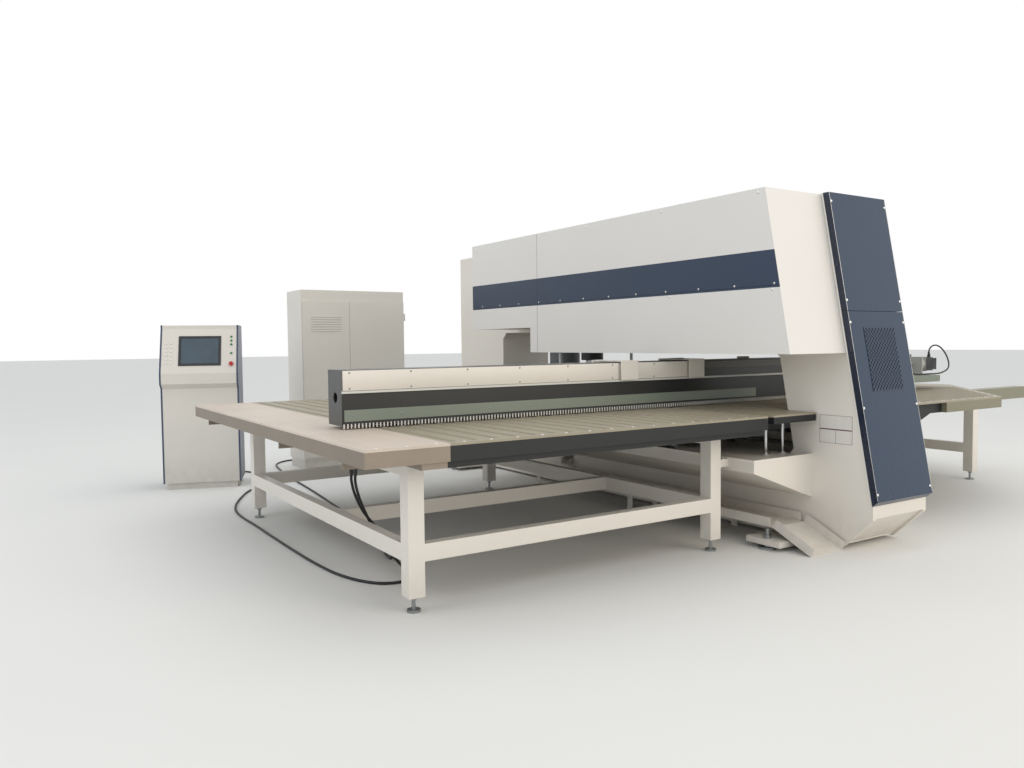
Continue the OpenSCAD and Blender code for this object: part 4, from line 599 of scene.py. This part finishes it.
class MakeFinishes(PressOperator, Operator):
    """Finishes of the press, and their places on the CAD nodes"""

    bl_idname = "press.finishes"
    bl_label = "Finishes"

    def execute(self, context):
        c = self.settings(context)[1]
        powder_coat("powder_coat_frame", c.shell)
        # Stripe on the left side cover's outer face
        powder_coat("powder_coat_cover", c.cover, 0.38, 260.0, [
            (c.blue, (-COVER_X - 5, -3000, 1681), (-COVER_X + 1.5, 1500, 1914))])
        # Folded sides of the front trays, drawn darker navy as painted shade
        powder_coat("gloss_enamel_blue", c.blue, 0.27, 320.0, [
            (c.navy_painted_shade, (x - 2.2, -3000, 0), (x + 2.2, 0, 2400)) for x in (-TRAY_HALF, TRAY_HALF)],
            0.015)
        powder_coat("powder_coat_console", c.console)
        powder_coat("powder_coat_cheek", c.cheek, 0.36)
        powder_coat("enamel_pale_green", c.pale_rim, 0.4)
        # Lower face, top edge, band under it, front lip and end shelf of the beam. The brown-grey
        # band under the top edge is a painted reflection on the glossy face, and the pale band on
        # the front lip is a painted highlight along its edge.
        # The beam's dark colour is partly painted shade, drawn darker than its lit grey-green
        # shelf
        powder_coat("enamel_beam", c.beam, 0.34, 300.0, [
            (c.beam_dark, (-4000, BEAM_Y + 6, 800), (2245, BEAM_Y + 14, 1084)),
            (c.beam_dark, (-4000, BEAM_Y - 2, 1206), (2245, BEAM_Y + 2, 1220)),
            # Painted reflection: brown-grey band on the glossy face under the top edge
            ("#5E5C55", (-4000, BEAM_Y - 2, 1160), (2245, BEAM_Y + 2, 1206)),
            # Painted highlight: pale band along the front lip's edge
            ("#D5D6D0", (-4000, BEAM_Y - 8, 1083), (2245, BEAM_Y + 13, 1097)),
            (c.beam_shelf, (2251, -1400, 900), (3000, -900, 1300))])
        powder_coat("enamel_shelf_green", c.beam_shelf, 0.4)
        powder_coat("motor_enamel", c.motor, 0.4, 200.0, [
            ("#A9AAA6", (2600, -1400, 1000), (MOTOR_HEAD, -900, 1300))])
        table_paint("table_paint_centre", c.table_top, c.table_rim)
        table_paint("table_paint_left", c.table_top, c.table_rim, -3050.0, "#CFC2B4", "#958B80",
                    -1, True)
        table_paint("table_paint_right", c.table_top, c.table_rim, 1259.0, c.table_top,
                    c.pale_rim)
        for along, name in enumerate(("cross", "long", "upright")):
            ground_steel("ground_steel_" + name, c.steel, along=along)
        ground_steel("turned_turret_steel", "#8A8D90", 0.36, 2, 4.0)
        ground_steel("hard_chrome", "#D4D6D8", 0.14, 2, 6.0)
        ground_steel("blackened_tool_steel", "#4B4F54", 0.38, 2, 4.0)
        ground_steel("nickel_plate", "#E8E8E6", 0.3, 0, 6.0)
        ground_steel("zinc_plate", "#9FA3A4", 0.42, 2, 5.0)
        machine_enamel("machine_enamel_grey", c.cast)
        machine_enamel("machine_enamel_dark", "#43474B")
        machine_enamel("motor_enamel_black", c.motor, 0.42)
        moulded("rubber_jacket", c.rubber, 0.5)
        moulded("nylon_bristle", c.bristle, 0.7, 10.0)
        moulded("abs_red", "#B3201E", 0.3)
        moulded("abs_green", "#2E7D3A", 0.3)
        moulded("abs_dark", "#26282B", 0.4)
        moulded("abs_pale", "#DDDAD3", 0.4)
        moulded("printed_red", "#5C2227", 0.5, 3.0)
        moulded("filter_foam", "#050506", 0.95, 5.0)
        for name, nodes in NODE_FINISHES.items():
            for node in nodes.split():
                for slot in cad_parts[node].material_slots:
                    slot.material = bpy.data.materials[name]
        return {"FINISHED"}


# Cables

def smooth(points, steps=8):
    """Catmull-Rom curve: between two points, the cubic whose slope at each of them is half the
    way between its neighbours."""
    p = np.asarray(points, float)
    i = np.arange(len(p) - 1)
    a, b, c, d = (p[np.clip(i + k, 0, len(p) - 1)][:, None] for k in (-1, 0, 1, 2))
    u = np.linspace(0, 1, steps, endpoint=False)[None, :, None]
    curve = 0.5 * (2 * b + (c - a) * u + (2 * a - 5 * b + 4 * c - d) * u ** 2
                   + (3 * b - a - 3 * c + d) * u ** 3)
    return np.vstack([curve.reshape(-1, 3), p[-1:]])


def cable(name, route, diameter, body, node):
    """Round cable: a circle carried along the smooth route, which never sinks into the floor."""
    path = smooth(route)
    path[:, 2] = np.maximum(path[:, 2], diameter * 500 + 0.2)
    path = place(path)
    data = bpy.data.curves.new(name, "CURVE")
    data.dimensions = "3D"
    data.bevel_depth = diameter / 2
    data.bevel_resolution = 3
    data.use_fill_caps = True
    spline = data.splines.new("POLY")
    spline.points.add(len(path) - 1)
    spline.points.foreach_set("co", np.column_stack([path, np.ones(len(path))]).ravel())
    data.materials.append(bpy.data.materials["rubber_jacket"])
    made = in_scene(name, data)
    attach(made, body)
    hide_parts(node)
    return made, path


def relief(name, spot, axis, cable_d, reach, body="frame"):
    """Strain relief: a round nut, then a sleeve whose ribs shrink towards the cable."""
    r = cable_d * 500
    h = np.linspace(12, reach, 19)
    sleeve = r + 4.5 - 3.5 * (h - 12) / (reach - 12) + 0.7 * (np.arange(19) % 2)
    profile = [(r + 4, 0), (r + 5.5, 1.5), (r + 5.5, 9.5), (r + 4, 11)]
    skin = turned(np.vstack([profile, np.column_stack([sleeve, h])]), spot, axis, 20)
    return piece(name, [skin], "abs_dark", body, crease=50)


def console_point(x, y, z):
    """Point of the drawing for a point of the console's own frame: turned by the console's
    turn, then moved to its corner."""
    c, s = math.cos(CONSOLE_TURN), math.sin(CONSOLE_TURN)
    return [CONSOLE[0] + x * c - y * s, CONSOLE[1] + x * s + y * c, z]


def out_of_junction(dy):
    """First three points of a cable, straight down from a gland of the junction box."""
    return [list(JUNCTION + (0, dy, -z)) for z in (0, 45, 90)]


class MakeConsoleCable(PressOperator, Operator):
    """Cable from the junction box under the left table, over the floor, into the console"""

    bl_idname = "press.console_cable"
    bl_label = "Console cable"

    def execute(self, context):
        d = self.settings(context)[0].cable
        route = out_of_junction(-30) + [
            (-3108, -1176, 470), (-3065, -1166, 370), (-3015, -1162, 270), (-2955, -1165, 170),
            (-2900, -1185, 90), (-2862, -1235, 32), (-2852, -1310, 9), (-2890, -1395, 9),
            (-2975, -1430, 9), (-3070, -1395, 9), (-3140, -1300, 9), (-3190, -1160, 9),
            (-3225, -950, 9), (-3245, -500, 9), (-3245, 400, 9), (-3220, 1200, 9),
            (-2960, 1900, 9), (-2650, 2400, 9), (-2530, 2900, 9), (-2590, 3230, 9),
            (-2760, 3440, 9), (-2930, 3420, 9)]
        route += [console_point(280, 580 + e, z) for e, z in (
            (300, 9), (240, 9), (186, 23), (141, 64.5), (96, 106), (48, 120), (24, 120), (0, 120))]
        cord, path = cable("console_lead", route, d, "frame", "console_cable")
        behind = np.subtract(console_point(280, 581, 120), console_point(280, 580, 120))
        ends = [relief("console_lead_relief_table", route[0], (0, 0, -1), d, 48),
                relief("console_lead_relief_console", route[-1], behind, d, 40)]
        return {"FINISHED"}


class MakeCabinetCable(PressOperator, Operator):
    """Cable from the junction box under the left table, over the floor, into the cabinet"""

    bl_idname = "press.cabinet_cable"
    bl_label = "Cabinet cable"

    def execute(self, context):
        d = self.settings(context)[0].cable
        route = out_of_junction(30) + [
            (-3108, -1120, 470), (-3058, -1116, 370), (-2990, -1110, 280), (-2920, -1095, 190),
            (-2865, -1060, 100), (-2830, -1000, 35), (-2805, -910, 9), (-2775, -780, 9),
            (-2680, -500, 9), (-2560, 100, 9), (-2480, 900, 9), (-2400, 1700, 9),
            (-2340, 2400, 9), (-2260, 3100, 9), (-2190, 3500, 9), (-2090, 3690, 9),
            (-1960, 3790, 9), (-1830, 3790, 9), (-1750, 3713, 16), (-1730, 3648, 55),
            (-1730, 3605, 102), (-1730, 3558, 120), (-1730, 3528, 120), (-1730, 3498, 120)]
        cord, path = cable("cabinet_lead", route, d, "frame", "cabinet_cable")
        ends = [relief("cabinet_lead_relief_" + end, spot, axis, d, 48)
                for end, spot, axis in (("table", route[0], (0, 0, -1)),
                                        ("cabinet", route[-1], (0, 1, 0)))]
        return {"FINISHED"}


class MakeMotorCable(PressOperator, Operator):
    """Cable that loops from the beam motor's plug over its shelf into the beam's end"""

    bl_idname = "press.motor_cable"
    bl_label = "Beam motor cable"

    def execute(self, context):
        d = self.settings(context)[0].motor_cable
        plug = np.array([2970.0, SCREW_Y, 1194.0])
        loop = np.array([
            (0, 0, 0), (0, 0, 18), (0, 0, 36), (12, -3, 66), (42, -13, 92), (82, -30, 96),
            (118, -54, 72), (134, -88, 20), (126, -122, -42), (86, -154, -98), (20, -178, -134),
            (-70, -190, -158), (-180, -195, -172)])
        route = list(plug + loop) + [
            (2620, -1235, 1022), (2480, -1220, 1022), (2370, -1195, 1040),
            (2310, -1190, 1057.5), (2270, -1190, 1057.5), (2220, -1190, 1057.5)]
        cord, path = cable("motor_lead", route, d, "crossbeam", "x_motor_cable")
        bush = turned([(34, 0), (34, 3), (31, 5), (14, 6), (12.5, 12), (11.5, 22), (9, 38)],
                      (2250, -1190, 1057.5), (1, 0, 0), 32)
        ends = [relief("motor_lead_relief_plug", plug, (0, 0, 1), d, 34,
                       "crossbeam"),
                piece("motor_lead_relief_beam", [bush], "abs_dark", "crossbeam",
                      crease=50)]
        return {"FINISHED"}


# Fine pieces

def slant_y(x):
    """Front edge of the right table past its corner, where it slants back."""
    return TABLE_FRONT + (x - 2070.0) * 1210.0 / 1420.0


class MakeBrushes(PressOperator, Operator):
    """Brush strips on the three tables: a nylon back and a row of bristle bunches"""

    bl_idname = "press.brushes"
    bl_label = "Table brushes"

    def execute(self, context):
        pitch = self.settings(context)[0].bunch * 1000
        inner, outer, width = 778.0, 3050.0, 120.0
        front, rear = TABLE_FRONT + 60, TABLE_REAR - 60
        arm_rear = float(front_y(TABLE_Z)) + 570
        side = np.arange(inner + 60, outer, width)
        strips = {
            "brushes_left": [(-x, front, rear) for x in side],
            "brushes_right": [(x, max(front, slant_y(x) + 90), rear) for x in side],
            # Behind the front post, and one beside it on each side
            "brushes_centre": [(s * (60 + k * width), arm_rear + 20, 300.0)
                               for s in (-1, 1) for k in range(5) if k != 4 or s > 0]
            + [(s * (308 + 722) / 2, front, arm_rear - 20) for s in (-1, 1)],
        }
        for name, rows in strips.items():
            skins = []
            for x, a, b in rows:
                skins.append(block((x - 12, a, TABLE_Z), (x + 12, b, TABLE_Z + 1.2), 0.3, 1, 2))
                bunch = block((x - 11, a + 1, TABLE_Z + 1), (x + 11, a + pitch - 2, TABLE_Z + 3),
                              0.2, 0.4, 1, draft=0.9)
                skins.append(row(bunch, int((b - a) // pitch), (0, pitch, 0)))
            piece(name, skins, "nylon_bristle", replaces=["table_brushes"])
        return {"FINISHED"}


def threaded(start, axis, reach, radius, lead):
    """Ball screw: a circle whose radius dips where the turn and the advance along the axis
    match, so that a round groove winds round the rod."""
    n, e, f = square_to(axis)
    s = np.linspace(0, reach, int(reach / lead * 12) + 1)[:, None]
    t = (np.arange(16) * 2 * np.pi / 16)[None, :]
    groove = (0.5 + 0.5 * np.cos(2 * np.pi * s / lead - t)) ** 4
    r = (radius - 2.4 * groove)[..., None]
    ring = np.cos(t)[..., None] * e + np.sin(t)[..., None] * f
    return rings(np.asarray(start, float) + s[..., None] * n + r * ring)


class MakeScrews(PressOperator, Operator):
    """Ground ball screws with their grooves, along the beam and along the throat"""

    bl_idname = "press.screws"
    bl_label = "Ball screws"

    def execute(self, context):
        lead = self.settings(context)[0].lead * 1000
        for node, k, centre, finish in (
                ("x_screw", 0, (0, SCREW_Y, SCREW_Z), "ground_steel_cross"),
                ("y_screw", 1, (0, 0, Y_SCREW_Z), "ground_steel_long")):
            low, high = ((corner[k] - ORIGIN[k]) * 1000 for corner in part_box(node))
            axis = np.eye(3)[k]
            piece(node + "_thread", [threaded(centre + low * axis, axis, high - low, 16, lead)],
                  finish, node + "_body", [node], 60)
        return {"FINISHED"}


class MakeFrontTrim(PressOperator, Operator):
    """Pale seals beside the front trays, partly a painted highlight of the side plates' lit front
    edges, and bright strips on the trays' folds that are painted highlights
    """

    bl_idname = "press.front_trim"
    bl_label = "Front trim"

    def execute(self, context):
        seals_and_highlights, fold_highlights = [], []
        for s in (-1, 1):
            # Pale seals that also serve as a painted highlight: they stand for the lit front edge
            # of the side plates
            seals_and_highlights.append(self.leaning(346, 2302, s * 294.9, 8.8, 4.8, 8.0))
            # Painted highlights: bright nickel strips on the trays' folds, where the bend catches
            # the light
            x, y = s * (TRAY_HALF - 0.3), -TRAY_OUT - 0.2
            fold_highlights += [self.leaning(low, high, x, y, 1.3, 0.8)
                      for low, high in ((356, 1537), (1543, 2308))]
        piece("front_seals_and_highlights", seals_and_highlights, "abs_pale")
        piece("front_fold_highlights", fold_highlights, "nickel_plate")
        return {"FINISHED"}

    @staticmethod
    def leaning(low, high, x, y, half_x, half_y):
        """Bar that leans back with the front edge of the side plates: a rounded rectangle
        carried from height low to height high, its middle at x and y past that edge."""
        z = np.linspace(low, high, 5)
        flat = rounded(half_x, half_y, min(half_x, half_y) * 0.7, 4)
        ring = np.zeros((len(z), len(flat), 3))
        ring[..., 0] = flat[:, 0] + x
        ring[..., 1] = flat[:, 1] + front_y(z)[:, None] + y
        ring[..., 2] = z[:, None]
        return rings(ring)


def up_slope(points, angle, y0, z0):
    """Points of a face that rises at the angle from y0 and z0, given as across it, up its slope
    and out of it: the last two turned by the angle about the face's foot."""
    x, v, n = np.asarray(points, float).T
    return (x, y0 + v * math.cos(angle) - n * math.sin(angle),
            z0 + v * math.sin(angle) + n * math.cos(angle))


class MakeVent(PressOperator, Operator):
    """Punched vent sheet on the lower front tray, over its filter"""

    bl_idname = "press.vent"
    bl_label = "Vent sheet"

    @staticmethod
    def on_tray(points):
        """Shared frame for a point of the tray's face: X across, Y up the slope, Z out of it."""
        y = float(front_y(VENT_Z)) - TRAY_OUT
        return place(np.column_stack(
            up_slope(points, math.pi / 2 - math.atan(LEAN), y, VENT_Z)))

    def execute(self, context):
        foam, sheet = 0.8, 1.6
        points, faces = punched(columns=20, cells=13, pitch=16.5, tall=31.2, slot_w=9.5,
                                slot_l=20.0, thick=sheet)
        piece("vent_sheet", [(points + [0, 0, foam], faces)], "gloss_enamel_blue",
              to_frame=self.on_tray)
        half_x, half_y = points[:, 0].max() - 2, points[:, 1].max() - 2
        pad = block((-half_x, -half_y, 0), (half_x, half_y, foam), 0.1, 1, 2)
        piece("vent_filter", [pad], "filter_foam", to_frame=self.on_tray)
        return {"FINISHED"}


class MakeBlankPlate(PressOperator, Operator):
    """Blank plate on the left side plate, with a border, a rule and four rivets"""

    bl_idname = "press.blank_plate"
    bl_label = "Blank plate"

    def execute(self, context):
        x, y0, y1, z0, z1 = PLATE_CORNER[0], -2452.0, -2206.0, 682.0, 868.0
        middle, rule_z = (y0 + y1) / 2, 771.0

        def bar(a, b, c, d):
            """Printed line on the plate, from a to b along it and from c to d in height."""
            return block((x - 1.8, a, c), (x - 1.3, b, d), 0.1, 0.2, 1, up=0)

        plate = block((x - 1.4, y0, z0), (x, y1, z1), 0.4, 5, 4, up=0)
        lines = [bar(y0 + 2, y0 + 4, z0 + 2, z1 - 2), bar(y1 - 4, y1 - 2, z0 + 2, z1 - 2),
                 bar(y0 + 2, y1 - 2, z0 + 2, z0 + 4), bar(y0 + 2, y1 - 2, z1 - 4, z1 - 2),
                 bar(middle - 1, middle + 1, z0 + 4, rule_z)]
        rule = bar(y0 + 4, y1 - 4, rule_z, rule_z + 7)
        rivets = heads([(3.5, 0), (3.4, 0.8), (2.4, 1.7), (0.8, 2.1)],
                       [(x - 1.2, y, z) for y in (y0 + 9, y1 - 9) for z in (z0 + 9, z1 - 9)],
                       (-1, 0, 0))
        for name, skins, finish in (("", [plate], "abs_pale"), ("_rule", [rule], "printed_red"),
                                    ("_lines", lines, "abs_dark"),
                                    ("_rivets", [rivets], "nickel_plate")):
            piece("blank_plate" + name, skins, finish)
        return {"FINISHED"}


class MakeSeams(PressOperator, Operator):
    """Sealing strips over the upright joints of the side covers, and screws on the stripe"""

    bl_idname = "press.seams"
    bl_label = "Cover joints"

    def execute(self, context):
        # Heights of the covers' foot, of the gap between the left panels, and of their top
        foot, gap_low, gap_high, top = 1276, 1692, 1698, 2300
        joints = [block((x - 0.6, y - 1.6, low), (x + 0.6, y + 1.6, high), 0.2, 0.4, 1)
                  for x, y, low, high in (
                      (-COVER_X, 270, gap_high, top), (-COVER_X, 270, foot, gap_low),
                      (COVER_X, -300, foot, top))]
        y = float(front_y((gap_low + gap_high) / 2)) + 18
        filler = block((2 - COVER_X, y - 0.2, gap_low), (-302, y + 1.2, gap_high), 0.1, 0.3, 1)
        screws = heads([(7, 0), (6.8, 0.8), (5.2, 1.9), (1.0, 2.6)],
                       [(-COVER_X, y, 1707) for y in np.arange(-2280, 1300, 316)], (-1, 0, 0), 14)
        for name, skins, finish in (("cover_joints", joints, "abs_dark"),
                                    ("cover_filler", [filler], "powder_coat_cover"),
                                    ("stripe_screws", [screws], "abs_pale")):
            piece(name, skins, finish)
        return {"FINISHED"}


class MakeShelfLips(PressOperator, Operator):
    """Folded lips round the trays on both shelves"""

    bl_idname = "press.shelf_lips"
    bl_label = "Shelf lips"

    def execute(self, context):
        low, high = 583, 600.5
        skins = []
        for s in (-1, 1):
            for inner, outer, front, rear in ((291, 862, -2152.5, -2149.5),
                                              (859.5, 862.5, -2152, 1500)):
                a, b = sorted((s * inner, s * outer))
                skins.append(block((a, front, low), (b, rear, high), 0.8, 1.4, 3))
        piece("shelf_lips", skins, "powder_coat_frame")
        return {"FINISHED"}


class MakeEdgeScrews(PressOperator, Operator):
    """Domed screws along the front edges of the tables"""

    bl_idname = "press.edge_screws"
    bl_label = "Table edge screws"

    def execute(self, context):
        step = self.settings(context)[0].edge_screws * 1000
        spots = [(x, TABLE_FRONT + 30, TABLE_Z) for x in (*np.arange(940, 2060, step),
                                                          *-np.arange(940, 3480, step))]
        spots += [(x, slant_y(x) + 42, TABLE_Z) for x in np.arange(2100, 3460, step)]
        dome = [(8, 0), (7.8, 0.9), (6.4, 2.0), (3.6, 2.7), (1.0, 2.95)]
        piece("table_edge_screws", [heads(dome, spots, (0, 0, 1), 14)], "nickel_plate")
        return {"FINISHED"}


class MakeBeamCover(PressOperator, Operator):
    """Pale sheet cover on the beam's upper face, from its left end to the carriage"""

    bl_idname = "press.beam_cover"
    bl_label = "Beam cover"

    def execute(self, context):
        left, right, low, high = BEAM_LEFT - 3, -540.0, 1099.0, 1212.0
        sheet = block((left, BEAM_Y - 3, low), (right, BEAM_Y, high), 0.8, 2, 3, up=0)
        piece("beam_cover", [sheet], "powder_coat_frame", "crossbeam")
        spots = [(x, BEAM_Y - 3, z) for x in np.arange(left + 40, right - 20, 380.0)
                 for z in (low + 12, high - 12)]
        piece("beam_cover_screws", [heads(PAN_HEAD, spots, (0, -1, 0))], "zinc_plate",
              "crossbeam")
        return {"FINISHED"}


class MakeBeamComb(PressOperator, Operator):
    """Comb of nylon fingers under the beam's front lip, which keeps the sheet's edge down"""

    bl_idname = "press.beam_comb"
    bl_label = "Beam comb"

    def execute(self, context):
        step = self.settings(context)[0].comb * 1000
        y, left, right = BEAM_Y + 12, BEAM_LEFT, 2240.0
        bar = block((left, y - 6, 903), (right, y, 921), 1.0, 2, 3)
        tooth = block((left, y - 9, 886), (left + step * 0.36, y - 3, 912), 0.8, 1.6, 2)
        teeth = row(tooth, int((right - left) // step), (step, 0, 0))
        # Wear strip on the beam's lower face, and the screws that hold it
        strip = block((left + 8, y - 4.5, 924), (156, y + 0.5, 990), 1.0, 2, 3)
        spots = [(x, y - 4.5, 957) for x in np.arange(left + 60, 140, 300)]
        for name, skin, finish in (("beam_comb_bar", bar, "abs_dark"),
                                   ("beam_comb_teeth", teeth, "abs_pale"),
                                   ("beam_wear_strip", strip, "enamel_shelf_green"),
                                   ("beam_strip_screws", heads(PAN_HEAD, spots, (0, -1, 0)),
                                    "zinc_plate")):
            piece(name, [skin], finish, "crossbeam")
        return {"FINISHED"}


class MakeConsoleFace(PressOperator, Operator):
    """Screen glass, blank keys and lamps on the console's sloped panel"""

    bl_idname = "press.console_face"
    bl_label = "Console face"

    @staticmethod
    def on_slope(points):
        """Shared frame for a point of the sloped panel: X across, Y up the slope, Z out of it."""
        run, rise = PANEL
        # The panel's foot is 2 mm behind the console's front, 1100 mm up
        return place(np.column_stack(
            console_point(*up_slope(points, math.atan2(rise, run), 2, 1100))))

    def execute(self, context):
        # Foot of the screen, which is 300 mm high and in the middle of the panel
        low = (math.hypot(*PANEL) - 300) / 2
        # Float glass over a dark screen: a clear gloss with a faint blue haze behind it
        tree, where = begin("screen_glass")
        tone = drift(tree, where, 5.0, 2.0, opaque("#2B3B48"), opaque("#3F5564"))[1]
        close(tree, {"Base Color": tone, "Roughness": 0.08, "IOR": 1.5, "Coat Weight": 0.5,
                     "Coat Roughness": 0.03})
        pane = block((187.5, low + 22.5, 2), (522.5, low + 277.5, 3.6), 0.3, 3, 3)
        key = block((42, low + 20, 0), (68, low + 40, 5), 1.2, 4, 4, draft=0.8)
        keys = copies(key, [(i * 42, j * 40, 0) for i in range(2) for j in range(6)])
        lamps = heads([(11, 0), (11, 3), (8.5, 3.5), (8.5, 6), (6.5, 8.5), (2, 9.8)],
                      [(638, v, 0) for v in (290, 330, 370)], (0, 0, 1), 20)
        for name, skin, finish, node in (("console_glass", pane, "screen_glass", "console_screen"),
                                         ("console_keys", keys, "abs_pale", "console_body"),
                                         ("console_lamps", lamps, "abs_green", "console_body")):
            piece(name, [skin], finish, to_frame=self.on_slope)
        return {"FINISHED"}


class MakeLouvres(PressOperator, Operator):
    """Pressed louvres on the cabinet's fixed panel and its right side"""

    bl_idname = "press.louvres"
    bl_label = "Cabinet louvres"

    def execute(self, context):
        front = block((-1930, 2973, 0), (-1590, 2981, 12), 2.5, 5, 3, up=1)
        side = block((-831, 3160, 0), (-822, 3420, 12), 2.5, 5, 3, up=0)
        skins = [copies(hood, [(0, 0, foot + k * 26) for k in range(count)])
                 for hood, foot, count in ((front, 320, 9), (front, 1500, 7), (side, 320, 9))]
        piece("cabinet_louvres", skins, "powder_coat_console")
        return {"FINISHED"}


class MakeLinkBolts(PressOperator, Operator):
    """Hexagon bolts and washers where the floor frames are tied to the shelves"""

    bl_idname = "press.link_bolts"
    bl_label = "Frame bolts"

    def execute(self, context):
        bar_top = 590
        spots = [(s * x, y, bar_top) for s, ys in ((-1, (-1915, 845)), (1, (-1435, 845)))
                 for x in (885, 930) for y in ys]
        washer = [(11.5, 0), (12, 0.5), (12, 2), (11.5, 2.5)]
        hexagon = [(9.6, 2.4), (9.8, 3), (9.8, 8), (8.6, 9)]
        piece("link_bolts", [heads(washer, spots, (0, 0, 1), 24),
                             heads(hexagon, spots, (0, 0, 1), 6)], "nickel_plate")
        return {"FINISHED"}


OPERATORS = (MakeStage, MakeFinishes, MakeConsoleCable, MakeCabinetCable, MakeMotorCable,
             MakeBrushes, MakeScrews, MakeFrontTrim, MakeVent, MakeBlankPlate, MakeSeams,
             MakeShelfLips, MakeEdgeScrews, MakeBeamCover, MakeBeamComb, MakeConsoleFace,
             MakeLouvres, MakeLinkBolts)


class PRESS_PT_pieces(Panel):
    """Pieces of the punch press"""

    bl_label = "Punch press"
    bl_space_type = "VIEW_3D"
    bl_region_type = "UI"
    bl_category = "Press"

    def draw(self, context):
        for made in OPERATORS:
            self.layout.operator(made.bl_idname)
        for group in (context.scene.press_sizes, context.scene.press_finishes):
            box = self.layout.box()
            for key in group.__annotations__:
                box.prop(group, key)


CLASSES = (PressSizes, PressFinishes, *OPERATORS, PRESS_PT_pieces)


def register():
    for made in CLASSES:
        bpy.utils.register_class(made)
    bpy.types.Scene.press_sizes = PointerProperty(type=PressSizes)
    bpy.types.Scene.press_finishes = PointerProperty(type=PressFinishes)


def unregister():
    del bpy.types.Scene.press_finishes
    del bpy.types.Scene.press_sizes
    for made in reversed(CLASSES):
        bpy.utils.unregister_class(made)


def main():
    """Makes the whole press."""
    register()
    bpy.ops.press.stage()
    bpy.ops.press.finishes()
    bpy.ops.press.console_cable()
    bpy.ops.press.cabinet_cable()
    bpy.ops.press.motor_cable()
    bpy.ops.press.brushes()
    bpy.ops.press.screws()
    bpy.ops.press.front_trim()
    bpy.ops.press.vent()
    bpy.ops.press.blank_plate()
    bpy.ops.press.seams()
    bpy.ops.press.shelf_lips()
    bpy.ops.press.edge_screws()
    bpy.ops.press.beam_cover()
    bpy.ops.press.beam_comb()
    bpy.ops.press.console_face()
    bpy.ops.press.louvres()
    bpy.ops.press.link_bolts()


if __name__ == "__main__":
    main()
